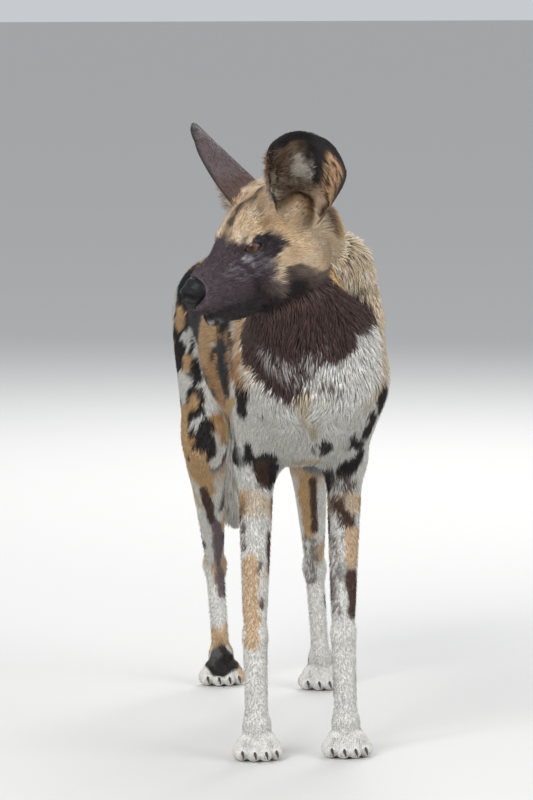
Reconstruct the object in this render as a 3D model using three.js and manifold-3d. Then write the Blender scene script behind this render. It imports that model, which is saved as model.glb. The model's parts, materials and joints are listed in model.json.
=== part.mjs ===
// African wild dog, standing, head turned to its right. Millimetres, +Z up.
// The dog faces -Y, its left side is +X, and its soles stand on Z = 0.
import * as THREE from 'three';
import { mergeVertices } from 'three/addons/utils/BufferGeometryUtils.js';
import Module from 'manifold-3d';

const wasm = await Module();
wasm.setup();

// Driving dimensions, all out to the tips of the coat
const GAP = 0.35;
const HEAD_YAW = THREE.MathUtils.degToRad(67);
const HEAD_PITCH = THREE.MathUtils.degToRad(15);
const HEAD_PLACE = new THREE.Vector3(-114, -198, 682);
const EYE = { forward: -3, out: 26.5, up: -1, radius: 11.2, socket: 14 };
const EAR = { length: 120, arc: 62, thick: 5.5, widest: 0.5, depth: 24, across: 8, along: 7 };
const CLAW = { length: 15, width: 5.5, sides: 6, steps: 2 };
const SIDES = [['left', 1], ['right', -1]];

// Coat colours by the part they cover
const COLOURS = {
  ruff: 0x8d7763, trunk: 0x8f7153, face: 0x4d3f4a, ear: 0x2a2320, leg: 0xd8d2c8,
  tail: 0xe0dbd2, eye: 0x7a4426, leather: 0x2b2a2c, claw: 0x3a302a,
};

const V = (x, y, z) => new THREE.Vector3(x, y, z);
const mix = (a, b, t) => a + (b - a) * t;

// A muscle is a capsule from a to b. Its radius runs from ra to rb, and across
// the direction side it is wide times that. blend rounds its joint to the rest.
function muscle(a, b, ra, rb, { wide = 1, side = V(1, 0, 0), blend = 22 } = {}) {
  const axis = b.clone().sub(a);
  const length2 = Math.max(axis.lengthSq(), 1e-9);
  const along = axis.clone().normalize();
  const across = side.clone().addScaledVector(along, -side.dot(along)).normalize();
  const reach = Math.max(ra, rb) * Math.max(1, wide);
  const middle = a.clone().add(b).multiplyScalar(0.5);
  return { a, axis, length2, ra, rb, wide, across, blend, middle, bound: axis.length() / 2 + reach };
}

// Signed distance from a point to one muscle, true to first order at its skin
const offset = V(0, 0, 0);
function muscleDistance(m, p) {
  offset.copy(p).sub(m.a);
  const t = THREE.MathUtils.clamp(offset.dot(m.axis) / m.length2, 0, 1);
  offset.addScaledVector(m.axis, -t);
  const s = offset.dot(m.across);
  const rest2 = Math.max(offset.lengthSq() - s * s, 0);
  const stretched = Math.sqrt((s / m.wide) ** 2 + rest2);
  const slope = Math.sqrt(s * s / m.wide ** 4 + rest2) / Math.max(stretched, 1e-6);
  return (stretched - mix(m.ra, m.rb, t)) / Math.max(slope, 1e-3);
}

// Smooth union of a list of muscles
function bodyDistance(muscles, p) {
  let d = 1e3;
  for (const m of muscles) {
    const away = p.distanceTo(m.middle) - m.bound;
    if (away > d + m.blend || away > 60) continue;
    const other = muscleDistance(m, p);
    const h = Math.max(m.blend - Math.abs(d - other), 0) / m.blend;
    d = Math.min(d, other) - h * h * m.blend / 4;
  }
  return d;
}

// The head has a frame of its own: forward to the nose, out to its left, up
const headForward = V(-Math.sin(HEAD_YAW) * Math.cos(HEAD_PITCH),
  -Math.cos(HEAD_YAW) * Math.cos(HEAD_PITCH), -Math.sin(HEAD_PITCH));
const headLeft = V(Math.cos(HEAD_YAW), -Math.sin(HEAD_YAW), 0);
const headUp = headForward.clone().cross(headLeft);
const inHead = (forward, out, up) => HEAD_PLACE.clone().addScaledVector(headForward, forward)
  .addScaledVector(headLeft, out).addScaledVector(headUp, up);

// Head: skull, cheeks, brows, muzzle, lips and jaw, in the head's own frame
function headMuscles() {
  const list = [
    muscle(inHead(-58, 0, 12), inHead(-24, 0, 12), 47, 36, { wide: 1.14, side: headLeft, blend: 16 }),
    muscle(inHead(-20, 0, 20), inHead(14, 0, 0), 24, 19, { wide: 1.3, side: headLeft, blend: 14 }),
    muscle(inHead(6, 0, -21), inHead(74, 0, -38), 32, 21, { wide: 0.98, side: headLeft, blend: 16 }),
    muscle(inHead(8, 0, 0), inHead(72, 0, -27), 14, 11, { side: headLeft, blend: 12 }),
    muscle(inHead(-60, 0, -58), inHead(20, 0, -66), 34, 22, { wide: 1.15, side: headLeft, blend: 16 }),
    muscle(inHead(10, 0, -68), inHead(60, 0, -75), 20, 13, { side: headLeft, blend: 12 }),
    muscle(inHead(-62, 0, 6), inHead(-100, 0, -14), 46, 45, { side: headLeft, blend: 26 }),
  ];
  for (const [, s] of SIDES) {
    const aside = (forward, out, up) => inHead(forward, s * out, up);
    list.push(
      muscle(aside(-52, 42, -16), aside(2, 30, -23), 29, 14, { blend: 14 }),
      muscle(aside(-62, 36, -42), aside(-22, 31, -48), 33, 26, { blend: 20 }),
      muscle(aside(-12, 29, 15), aside(8, 22, 12), 13, 11, { blend: 10 }),
      muscle(aside(18, 17, -46), aside(70, 10, -52), 18, 15, { blend: 12 }),
      muscle(aside(-62, 46, 30), aside(-50, 42, 12), 24, 22, { blend: 18 }),
    );
  }
  return list;
}

// Neck with its ruff and the throat's bib
function neckMuscles() {
  return [
    muscle(V(-4, 0, 558), V(-24, -138, 676), 86, 52, { wide: 0.96, blend: 32 }),
    muscle(V(0, 50, 600), V(-26, -140, 684), 54, 40, { wide: 0.8, blend: 28 }),
    muscle(V(-40, -166, 616), V(-6, -92, 542), 54, 92, { wide: 1.04, blend: 30 }),
    muscle(V(34, -112, 648), V(47, -62, 572), 41, 48, { blend: 24 }),
    muscle(V(0, -116, 650), V(28, -110, 654), 40, 36, { blend: 20 }),
  ];
}

// Trunk: rib cage, belly, loin, croup, withers and breast
function trunkMuscles() {
  return [
    muscle(V(-2, 20, 512), V(0, 230, 518), 127, 116, { wide: 0.78, blend: 36 }),
    muscle(V(0, 230, 518), V(-6, 420, 546), 116, 88, { wide: 0.88, blend: 36 }),
    muscle(V(-6, 420, 550), V(-10, 540, 550), 86, 60, { wide: 0.95, blend: 32 }),
    muscle(V(0, 30, 606), V(0, 260, 596), 46, 40, { wide: 0.8, blend: 34 }),
    muscle(V(0, -70, 490), V(0, 60, 440), 74, 66, { wide: 1.1, blend: 36 }),
    muscle(V(-10, 540, 590), V(-10, 590, 592), 40, 26, { blend: 26 }),
  ];
}

// Leg joints, seen from the dog's own stance: the hind feet are not side by side
const FORELEG = {
  left: { shoulder: V(53, -62, 496), elbow: V(60, 38, 388), wrist: V(54, 10, 158), foot: V(55, -4, 44) },
  right: { shoulder: V(-57, -64, 496), elbow: V(-57, 34, 388), wrist: V(-63, 6, 158), foot: V(-63, -8, 44) },
};
const HINDLEG = {
  left: { hip: V(42, 512, 556), knee: V(76, 418, 372), hock: V(108, 556, 168), foot: V(112, 526, 42) },
  right: { hip: V(-55, 520, 536), knee: V(-66, 440, 372), hock: V(-26, 616, 166), foot: V(-22, 584, 42) },
};

function forelegMuscles(name, s) {
  const { shoulder, elbow, wrist, foot } = FORELEG[name];
  const blade = V(s * 45, 44, 590);
  const back = V(0, 16, 0);
  return [
    muscle(blade, shoulder, 46, 46, { wide: 0.76, blend: 30 }),
    muscle(shoulder, elbow, 46, 32, { wide: 0.86, blend: 30 }),
    muscle(V(s * 66, 78, 560), elbow.clone().add(V(0, 8, 14)), 52, 26, { wide: 0.62, blend: 30 }),
    muscle(elbow, wrist, 26, 16, { wide: 0.98, blend: 20 }),
    muscle(elbow.clone().add(back), wrist.clone().add(V(0, 8, 30)), 17, 9, { blend: 16 }),
    muscle(wrist, foot, 17, 15.5, { wide: 1.05, blend: 10 }),
    muscle(wrist.clone().add(back.clone().setZ(-6)), wrist.clone().add(V(0, 12, -22)), 9, 6, { blend: 8 }),
  ];
}

function hindlegMuscles(name) {
  const { hip, knee, hock, foot } = HINDLEG[name];
  const heel = hock.clone().add(V(0, 14, 10));
  const calf = knee.clone().lerp(hock, 0.3).add(V(0, 22, 14));
  const seat = hip.clone().add(V(0, 46, -34));
  return [
    muscle(hip, knee, 70, 46, { wide: 0.66, blend: 30 }),
    muscle(seat, knee.clone().lerp(hock, 0.35).add(V(0, 26, 34)), 50, 28, { wide: 0.64, blend: 28 }),
    muscle(hip.clone().add(V(0, 14, -60)), knee.clone().lerp(hock, 0.14).add(V(0, 22, 4)), 42, 33, { wide: 0.7, blend: 24 }),
    muscle(knee, hock, 35, 18, { wide: 0.82, blend: 20 }),
    muscle(calf, hock.clone().add(V(0, -4, 40)), 31, 14, { wide: 0.8, blend: 18 }),
    muscle(knee.clone().lerp(hock, 0.5).add(V(0, 30, 12)), heel, 12, 10, { blend: 12 }),
    muscle(hock, heel, 18, 13, { blend: 10 }),
    muscle(hock, foot, 16.5, 15, { wide: 0.95, blend: 10 }),
  ];
}

// A paw: one broad pad and four toes, the outer two set back. The ankle above
// it is foot, and the toes point where the leg does.
const TOES = [-1.5, -0.5, 0.5, 1.5];
const TOE = { apart: 15, setBack: 9, radius: 11.5, height: 8.5, reach: 30, pad: 14 };
const toeTip = (foot, k) => V(foot.x + k * TOE.apart, foot.y - TOE.reach + TOE.setBack * Math.abs(k), TOE.height);
function pawMuscles(foot) {
  const pad = foot.clone().setZ(TOE.pad).add(V(0, 4, 0));
  const list = [
    muscle(foot, pad.clone().add(V(0, -6, 4)), 15.5, 17, { wide: 1.2, blend: 10 }),
    muscle(pad, pad.clone().add(V(0, -14, -4)), 18, 14, { wide: 1.35, blend: 8 }),
  ];
  for (const k of TOES) {
    const tip = toeTip(foot, k);
    const knuckle = V(foot.x + k * TOE.apart * 0.7, foot.y - 8, 26);
    list.push(muscle(knuckle, tip.clone().add(V(0, 10, 3)), 10.5, TOE.radius, { blend: 5 }));
    list.push(muscle(tip.clone().add(V(0, 10, 3)), tip, TOE.radius, 9.5, { blend: 3 }));
  }
  return list;
}

// Tail: it hangs from the croup, fills to a brush and thins to its tip
const TAIL = [[-10, 574, 596, 24], [-8, 624, 548, 25], [-4, 650, 470, 29], [0, 652, 380, 35],
  [3, 644, 290, 34], [5, 636, 238, 20]];
function tailMuscles() {
  return TAIL.slice(1).map(([x, y, z, r], i) => {
    const [ax, ay, az, ar] = TAIL[i];
    return muscle(V(ax, ay, az), V(x, y, z), ar, r, { blend: 12 });
  });
}

const MUSCLES = [...trunkMuscles(), ...neckMuscles(), ...headMuscles()];
for (const [name, s] of SIDES) {
  MUSCLES.push(...forelegMuscles(name, s), ...hindlegMuscles(name));
  MUSCLES.push(...pawMuscles(FORELEG[name].foot), ...pawMuscles(HINDLEG[name].foot));
}

// Surface nets over a grid of its own spacing: one vertex in each cell that the
// skin crosses, drawn on to the skin, and one square over each crossed edge.
function skinMesh(low, high, spacing, distance) {
  const count = [0, 1, 2].map((i) => Math.ceil((high[i] - low[i]) / spacing[i]) + 1);
  const at = (i, j, k) => (k * count[1] + j) * count[0] + i;
  const place = (i, j, k) => V(low[0] + i * spacing[0], low[1] + j * spacing[1], low[2] + k * spacing[2]);
  const edgeOfGrid = (i, j, k) => !i || !j || !k || i === count[0] - 1 || j === count[1] - 1 || k === count[2] - 1;
  const value = new Float64Array(count[0] * count[1] * count[2]);
  for (let k = 0; k < count[2]; k += 1) {
    for (let j = 0; j < count[1]; j += 1) {
      for (let i = 0; i < count[0]; i += 1) {
        const d = distance(place(i, j, k));
        value[at(i, j, k)] = edgeOfGrid(i, j, k) ? Math.max(d, 0.4 * spacing[0]) : d;
      }
    }
  }
  const corners = [];
  for (let c = 0; c < 8; c += 1) corners.push([c & 1, (c >> 1) & 1, (c >> 2) & 1]);
  const vertexOf = new Map();
  const positions = [];
  const cellVertex = (i, j, k) => {
    const key = at(i, j, k);
    if (vertexOf.has(key)) return vertexOf.get(key);
    const sum = V(0, 0, 0);
    let crossings = 0;
    for (let a = 0; a < 8; a += 1) {
      for (const bit of [1, 2, 4]) {
        if (a & bit) continue;
        const [p, q] = [corners[a], corners[a | bit]];
        const va = value[at(i + p[0], j + p[1], k + p[2])];
        const vb = value[at(i + q[0], j + q[1], k + q[2])];
        if ((va < 0) === (vb < 0)) continue;
        const from = place(i + p[0], j + p[1], k + p[2]);
        sum.add(from.lerp(place(i + q[0], j + q[1], k + q[2]), va / (va - vb)));
        crossings += 1;
      }
    }
    const vertex = sum.divideScalar(crossings);
    const index = positions.length / 3;
    positions.push(vertex.x, vertex.y, vertex.z);
    vertexOf.set(key, index);
    return index;
  };
  const faces = [];
  const step = [[1, 0, 0], [0, 1, 0], [0, 0, 1]];
  for (let k = 0; k < count[2] - 1; k += 1) {
    for (let j = 0; j < count[1] - 1; j += 1) {
      for (let i = 0; i < count[0] - 1; i += 1) {
        const here = value[at(i, j, k)] < 0;
        for (let axis = 0; axis < 3; axis += 1) {
          const cell0 = [i, j, k];
          if (!cell0[(axis + 1) % 3] || !cell0[(axis + 2) % 3]) continue;
          const there = value[at(i + step[axis][0], j + step[axis][1], k + step[axis][2])] < 0;
          if (here === there) continue;
          const [u, v] = [step[(axis + 1) % 3], step[(axis + 2) % 3]];
          const cell = (m, n) => cellVertex(i - m * u[0] - n * v[0], j - m * u[1] - n * v[1], k - m * u[2] - n * v[2]);
          const ring = [cell(0, 0), cell(1, 0), cell(1, 1), cell(0, 1)];
          if (!here) ring.reverse();
          faces.push(ring[0], ring[1], ring[2], ring[0], ring[2], ring[3]);
        }
      }
    }
  }
  const geometry = new THREE.BufferGeometry();
  geometry.setAttribute('position', new THREE.Float32BufferAttribute(positions, 3));
  geometry.setIndex(faces);
  return geometry;
}

// Draws the vertices of a mesh on to the skin along its slope
function drawOn(geometry, distance, most) {
  const position = geometry.getAttribute('position');
  const p = V(0, 0, 0);
  const h = 0.5;
  for (let i = 0; i < position.count; i += 1) {
    for (let pass = 0; pass < 3; pass += 1) {
      p.fromBufferAttribute(position, i);
      const d = distance(p);
      if (Math.abs(d) > most) break;
      const slope = V(
        distance(p.clone().setX(p.x + h)) - distance(p.clone().setX(p.x - h)),
        distance(p.clone().setY(p.y + h)) - distance(p.clone().setY(p.y - h)),
        distance(p.clone().setZ(p.z + h)) - distance(p.clone().setZ(p.z - h)),
      ).divideScalar(2 * h);
      if (slope.lengthSq() < 0.2) break;
      p.addScaledVector(slope, -d / slope.lengthSq());
      position.setXYZ(i, p.x, p.y, p.z);
    }
  }
  return geometry;
}

// Joins and cuts
function solidOf(geometry) {
  const bare = geometry.clone();
  bare.deleteAttribute('normal');
  bare.deleteAttribute('uv');
  const merged = mergeVertices(bare, 1e-4);
  return new wasm.Manifold(new wasm.Mesh({
    numProp: 3,
    vertProperties: Float32Array.from(merged.getAttribute('position').array),
    triVerts: Uint32Array.from(merged.getIndex().array),
  }));
}
function geometryOf(solid) {
  const mesh = solid.getMesh();
  const geometry = new THREE.BufferGeometry();
  geometry.setAttribute('position', new THREE.Float32BufferAttribute(mesh.vertProperties, 3));
  geometry.setIndex(Array.from(mesh.triVerts));
  return geometry;
}
// The half of space behind a plane, as a large block turned to face along normal
const BLOCK = 2400;
function behind(point, normal) {
  const block = new THREE.BoxGeometry(BLOCK, BLOCK, BLOCK);
  const turn = new THREE.Quaternion().setFromUnitVectors(V(0, 0, 1), normal.clone().normalize());
  block.translate(0, 0, -BLOCK / 2);
  block.applyQuaternion(turn);
  block.translate(point.x, point.y, point.z);
  return solidOf(block);
}
const ahead = (point, normal) => behind(point, normal.clone().negate());
// Both sides of one thin cut
function part(solid, point, normal) {
  const n = normal.clone().normalize();
  const half = n.clone().multiplyScalar(GAP / 2);
  return [
    solid.intersect(behind(point.clone().sub(half), n)),
    solid.intersect(ahead(point.clone().add(half), n)),
  ];
}
// The same mesh with its skin moved outwards, for a pocket that clears it
function grown(geometry, by) {
  const bare = geometry.clone();
  bare.deleteAttribute('uv');
  bare.deleteAttribute('normal');
  const merged = mergeVertices(bare, 1e-4);
  merged.computeVertexNormals();
  const position = merged.getAttribute('position');
  const normal = merged.getAttribute('normal');
  for (let i = 0; i < position.count; i += 1) {
    position.setXYZ(i, position.getX(i) + normal.getX(i) * by,
      position.getY(i) + normal.getY(i) * by, position.getZ(i) + normal.getZ(i) * by);
  }
  return merged;
}
// Only the largest closed piece of a solid
function largest(solid) {
  return solid.decompose().sort((a, b) => b.volume() - a.volume())[0];
}

const dog = new THREE.Group();
function addNode(name, solid, colour, roughness = 0.85) {
  const material = new THREE.MeshStandardMaterial({ color: COLOURS[colour], roughness, metalness: 0 });
  const mesh = new THREE.Mesh(geometryOf(solid), material);
  mesh.name = name;
  dog.add(mesh);
}

// One stretch of the body, cut from the whole shape at its own grid spacing
const shape = (p) => bodyDistance(MUSCLES, p);
function stretch(low, high, spacing) {
  return solidOf(drawOn(skinMesh(low, high, spacing, shape), shape, 12));
}

// Cuts that part the neck from the head and from the chest
const headCut = { point: inHead(-95, 0, -20), normal: V(-0.66, -0.70, 0.29) };
const neckCut = { point: V(0, -60, 585), normal: V(0, -0.618, 0.786) };

// Nose leather, in the head's frame, with the nostrils pressed in at the sides
const noseMuscles = [
  muscle(inHead(76, 0, -34), inHead(84, 0, -37), 15.5, 12.5, { wide: 1.12, side: headLeft }),
  muscle(inHead(78, 0, -48), inHead(80, 0, -42), 9, 12, { side: headLeft, blend: 8 }),
];
const noseShape = (p) => bodyDistance(noseMuscles, p);

// A pinna: an arc that opens from a funnel at the base to a wide rounded cup
function earGeometry(side) {
  const base = inHead(-64, side * 64, 39);
  const up = headUp.clone().addScaledVector(headLeft, side * 0.78).addScaledVector(headForward, 0.06).normalize();
  const facing = headForward.clone().multiplyScalar(0.74).addScaledVector(headLeft, side * 0.67);
  facing.addScaledVector(up, -facing.dot(up)).normalize();
  const across = up.clone().cross(facing).multiplyScalar(-side);
  const { length, arc, thick, widest, depth, across: nu, along: nv } = EAR;
  const point = (u, v, layer) => {
    const round = v < widest ? mix(1.06, 1, v / widest) : Math.sqrt(1 - ((v - widest) / (1.004 - widest)) ** 2);
    const half = arc * round;
    const bend = mix(2.0, 0.75, Math.min(v / 0.7, 1)) * mix(1, round, v);
    const middle = half / bend;
    const radius = middle - (layer ? 0 : thick * mix(1, 0.5, v) * (1 - 0.5 * u * u));
    return base.clone().addScaledVector(up, length * v)
      .addScaledVector(across, radius * Math.sin(u * bend))
      .addScaledVector(facing, middle - radius * Math.cos(u * bend) - depth * (1 - v));
  };
  const positions = [];
  const index = (i, j, layer) => (layer * (nv + 1) + j) * (nu + 1) + i;
  for (const layer of [0, 1]) {
    for (let j = 0; j <= nv; j += 1) {
      for (let i = 0; i <= nu; i += 1) {
        const p = point(-1 + (2 * i) / nu, Math.sin((Math.PI / 2) * (j / nv)), layer);
        positions.push(p.x, p.y, p.z);
      }
    }
  }
  const faces = [];
  const square = (a, b, c, d) => {
    if (side > 0) faces.push(a, b, c, a, c, d);
    else faces.push(a, c, b, a, d, c);
  };
  for (let j = 0; j < nv; j += 1) {
    for (let i = 0; i < nu; i += 1) {
      square(index(i, j, 0), index(i, j + 1, 0), index(i + 1, j + 1, 0), index(i + 1, j, 0));
      square(index(i, j, 1), index(i + 1, j, 1), index(i + 1, j + 1, 1), index(i, j + 1, 1));
    }
    square(index(0, j, 0), index(0, j, 1), index(0, j + 1, 1), index(0, j + 1, 0));
    square(index(nu, j, 0), index(nu, j + 1, 0), index(nu, j + 1, 1), index(nu, j, 1));
  }
  for (let i = 0; i < nu; i += 1) {
    square(index(i, 0, 0), index(i + 1, 0, 0), index(i + 1, 0, 1), index(i, 0, 1));
    square(index(i, nv, 0), index(i, nv, 1), index(i + 1, nv, 1), index(i + 1, nv, 0));
  }
  const geometry = new THREE.BufferGeometry();
  geometry.setAttribute('position', new THREE.Float32BufferAttribute(positions, 3));
  geometry.setIndex(faces);
  return geometry;
}

// A claw: a cone bent down towards its tip, from inside the toe
function clawGeometry(foot, k) {
  const root = toeTip(foot, k).add(V(0, -5, 3));
  const { length, width, sides, steps } = CLAW;
  const positions = [root.x, root.y, root.z];
  for (let j = 0; j < steps; j += 1) {
    const t = j / steps;
    for (let i = 0; i < sides; i += 1) {
      const angle = (2 * Math.PI * i) / sides;
      const radius = (width / 2) * (1 - 0.75 * t);
      positions.push(root.x + radius * 0.8 * Math.cos(angle), root.y - length * t,
        root.z - 5 * t * t + radius * Math.sin(angle));
    }
  }
  positions.push(root.x, root.y - length, root.z - 6);
  const tip = positions.length / 3 - 1;
  const ring = (j, i) => 1 + j * sides + (i % sides);
  const faces = [];
  for (let i = 0; i < sides; i += 1) {
    faces.push(0, ring(0, i + 1), ring(0, i));
    for (let j = 0; j < steps - 1; j += 1) {
      faces.push(ring(j, i), ring(j, i + 1), ring(j + 1, i), ring(j, i + 1), ring(j + 1, i + 1), ring(j + 1, i));
    }
    faces.push(ring(steps - 1, i), ring(steps - 1, i + 1), tip);
  }
  const geometry = new THREE.BufferGeometry();
  geometry.setAttribute('position', new THREE.Float32BufferAttribute(positions, 3));
  geometry.setIndex(faces);
  return geometry;
}

// Head, jaw, nose, eyes and ears
function buildHead() {
  const whole = stretch([-240, -330, 540], [90, -60, 800], [14.5, 14.5, 14.5]);
  const skull = whole.intersect(ahead(headCut.point.clone().addScaledVector(headCut.normal, GAP / 2), headCut.normal));
  const noseGeometry = drawOn(skinMesh([-230, -270, 590], [-150, -190, 680], [8.5, 8.5, 8.5], noseShape), noseShape, 6);
  let head = largest(skull).subtract(solidOf(grown(noseGeometry, GAP)));
  addNode('nose', solidOf(noseGeometry), 'leather', 0.4);
  const clear = grown(geometryOf(whole), GAP);
  for (const [name, s] of SIDES) {
    const centre = inHead(EYE.forward, s * EYE.out, EYE.up);
    const ball = new THREE.SphereGeometry(EYE.radius, 10, 7).translate(centre.x, centre.y, centre.z);
    addNode(`eye_${name}`, solidOf(ball), 'eye', 0.15);
    const opening = inHead(EYE.forward + 6, s * (EYE.out + EYE.socket), EYE.up);
    const socket = new THREE.SphereGeometry(EYE.socket, 10, 7).translate(opening.x, opening.y, opening.z);
    head = head.subtract(solidOf(socket)).subtract(solidOf(grown(ball, GAP)));
    addNode(`ear_${name}`, largest(solidOf(earGeometry(s)).subtract(solidOf(clear))), 'ear');
  }
  const mouth = { point: inHead(80, 0, -66), normal: headUp.clone().addScaledVector(headForward, -0.06) };
  const corner = { point: inHead(2, 0, -66), normal: headForward.clone() };
  const front = head.intersect(ahead(corner.point.clone().addScaledVector(headForward, GAP / 2), corner.normal));
  const [jaw, muzzle] = part(front, mouth.point, mouth.normal);
  addNode('lower_jaw', largest(jaw), 'face');
  const slab = ahead(corner.point.clone().addScaledVector(headForward, -GAP / 2), corner.normal)
    .intersect(behind(mouth.point.clone().addScaledVector(mouth.normal, GAP / 2), mouth.normal));
  addNode('head', largest(head.subtract(slab)), 'face');
}

// Neck, chest and loin, cut below by the tops of the legs
const legTop = (x, y, s, inner, outer) => ({
  point: V(x, y, inner), normal: V(-s * (outer - inner), 0, 70).normalize(),
});
const LEG_CUTS = {};
for (const [name, s] of SIDES) {
  LEG_CUTS[`fore_${name}`] = { ...legTop(s * 30, 0, s, 362, 410), s, from: -200, to: 290, middle: 0 };
  LEG_CUTS[`hind_${name}`] = { ...legTop(-8 + s * 14, 500, s, 402, 470), s, from: 290, to: 700, middle: -8 };
}
// The space that one leg takes: below its cut and on its own side of the middle
function legSpace({ point, normal, s, from, to, middle }, gap) {
  const slope = behind(point.clone().addScaledVector(normal, gap), normal);
  const column = new THREE.BoxGeometry(400, to - from, 700);
  column.translate(middle + s * (200 - gap), (from + to) / 2, 200);
  return slope.intersect(solidOf(column));
}

function buildTrunk() {
  const neckWhole = stretch([-190, -300, 440], [190, 120, 800], [25, 25, 25]);
  const neckTop = neckWhole.intersect(behind(headCut.point.clone().addScaledVector(headCut.normal, -GAP / 2), headCut.normal));
  const [, neck] = part(neckTop, neckCut.point, neckCut.normal);
  addNode('neck', largest(neck), 'ruff');
  let trunk = stretch([-190, -260, 330], [190, 680, 720], [30, 40, 29]);
  trunk = trunk.intersect(behind(neckCut.point.clone().addScaledVector(neckCut.normal, -GAP / 2), neckCut.normal));
  for (const cut of Object.values(LEG_CUTS)) trunk = trunk.subtract(legSpace(cut, GAP / 2));
  const [chest, loin] = part(trunk, V(0, 304, 500), V(0, 1, 0));
  addNode('chest', largest(chest), 'trunk');
  addNode('loin', largest(loin), 'trunk');
  return largest(loin);
}

// Tail in three lengths, set on the rump
const TAIL_CUTS = [
  { point: V(-4, 650, 470), normal: V(0, 0.1, -1).normalize() },
  { point: V(1, 650, 355), normal: V(0, -0.05, -1).normalize() },
];
function buildTail(rump) {
  const muscles = tailMuscles();
  const tailShape = (p) => bodyDistance(muscles, p);
  const whole = drawOn(skinMesh([-70, 520, 190], [70, 720, 660], [20, 20, 34], tailShape), tailShape, 14);
  let rest = largest(solidOf(whole).subtract(solidOf(grown(geometryOf(rump), GAP))));
  for (const [i, name] of ['tail_base', 'tail_middle'].entries()) {
    const [here, onwards] = part(rest, TAIL_CUTS[i].point, TAIL_CUTS[i].normal);
    addNode(name, largest(here), 'tail');
    rest = onwards;
  }
  addNode('tail_brush', largest(rest), 'tail');
}

// Legs: an upper length and a foot, parted at the wrist or hock, with claws
const FOOT_CUT = 148;
function buildLeg(kind, name, joints, box) {
  const cut = LEG_CUTS[`${kind}_${name}`];
  const [low, high] = box;
  const upper = stretch([low[0], low[1], FOOT_CUT - 30], [high[0], high[1], 540], [16, 19, 32]);
  const onLeg = upper.intersect(legSpace(cut, -GAP / 2));
  const [, leg] = part(onLeg, V(0, 0, FOOT_CUT), V(0, 0, 1));
  addNode(`${kind}leg_${name}`, largest(leg), 'leg');
  const footWhole = stretch([low[0], joints.foot.y - 60, -14], [high[0], joints.foot.y + 70, FOOT_CUT + 20], [10.5, 12, 16]);
  const [below] = part(footWhole, V(0, 0, FOOT_CUT), V(0, 0, 1));
  let foot = largest(below.intersect(ahead(V(0, 0, 0), V(0, 0, 1))));
  for (const [i, k] of TOES.entries()) {
    const claw = clawGeometry(joints.foot, k);
    foot = foot.subtract(solidOf(grown(claw, GAP)));
    addNode(`claw_${kind}_${name}_${i + 1}`, solidOf(claw), 'claw', 0.5);
  }
  addNode(`${kind}foot_${name}`, largest(foot), 'leg');
}

buildHead();
const rump = buildTrunk();
buildTail(rump);
buildLeg('fore', 'left', FORELEG.left, [[4, -110, 0], [150, 130, 0]]);
buildLeg('fore', 'right', FORELEG.right, [[-150, -110, 0], [-4, 130, 0]]);
buildLeg('hind', 'left', HINDLEG.left, [[-4, 330, 0], [170, 660, 0]]);
buildLeg('hind', 'right', HINDLEG.right, [[-160, 360, 0], [30, 700, 0]]);

// The origin is on the floor under the middle of the whole dog
const bounds = new THREE.Box3().setFromObject(dog);
const middle = bounds.getCenter(V(0, 0, 0));
dog.position.set(-middle.x, -middle.y, 0);

export default dog;
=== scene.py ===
# %% [markdown]
# # An African wild dog
# This file makes the looks of a standing African wild dog around its solid
# model: one skin, eyes, nose leather, claws, whiskers and a coat of solid tufts.
# The solid model gives every size. The dog faces -Y, its left side is +X and
# its soles are on Z = 0. Lengths are in metres.

# %% Frame
import json
import math

import bmesh
import bpy
import numpy as np
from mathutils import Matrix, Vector
from mathutils.kdtree import KDTree

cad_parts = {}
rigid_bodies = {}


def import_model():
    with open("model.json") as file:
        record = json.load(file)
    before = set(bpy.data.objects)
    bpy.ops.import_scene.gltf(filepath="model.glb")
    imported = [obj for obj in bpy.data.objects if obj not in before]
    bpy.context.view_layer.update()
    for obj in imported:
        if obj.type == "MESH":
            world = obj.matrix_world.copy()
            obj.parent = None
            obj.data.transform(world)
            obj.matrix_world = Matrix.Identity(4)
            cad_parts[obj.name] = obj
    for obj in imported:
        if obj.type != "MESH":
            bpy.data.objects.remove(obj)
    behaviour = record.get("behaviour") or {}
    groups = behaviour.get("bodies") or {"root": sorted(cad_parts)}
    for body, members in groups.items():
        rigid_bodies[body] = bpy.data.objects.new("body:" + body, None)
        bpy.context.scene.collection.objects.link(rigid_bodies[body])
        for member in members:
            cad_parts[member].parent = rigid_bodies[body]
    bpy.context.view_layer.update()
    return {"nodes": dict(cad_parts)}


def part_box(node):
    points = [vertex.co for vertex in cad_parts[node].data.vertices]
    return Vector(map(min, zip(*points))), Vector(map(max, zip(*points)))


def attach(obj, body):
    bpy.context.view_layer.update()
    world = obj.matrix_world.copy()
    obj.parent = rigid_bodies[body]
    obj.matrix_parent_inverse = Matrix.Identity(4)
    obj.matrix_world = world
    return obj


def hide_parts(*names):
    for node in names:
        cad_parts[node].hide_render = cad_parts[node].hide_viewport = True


for start_object in list(bpy.data.objects):
    bpy.data.objects.remove(start_object)
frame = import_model()

# %% [markdown]
# ## The head's own frame
# The head is turned 67 degrees to the dog's right and dips 15 degrees. Its
# features are easier to place, and to mirror, in a frame that turns with it:
# forward to the nose, out to the left and up. The eye of the solid model shows
# how far that model stands from these measures.

# %% Head frame
X, Y, Z = np.eye(3)
HEAD_YAW = math.radians(67)
HEAD_PITCH = math.radians(15)
HEAD_PLACE = np.array([-0.114, -0.198, 0.682])
FORWARD = np.array([
    -math.sin(HEAD_YAW) * math.cos(HEAD_PITCH),
    -math.cos(HEAD_YAW) * math.cos(HEAD_PITCH),
    -math.sin(HEAD_PITCH),
])
LEFT = np.array([math.cos(HEAD_YAW), -math.sin(HEAD_YAW), 0])
UP = np.cross(FORWARD, LEFT)
SIDES = (("left", 1), ("right", -1))
FAR = 1.0


def mix(a, b, t):
    return a + (b - a) * t


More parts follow.
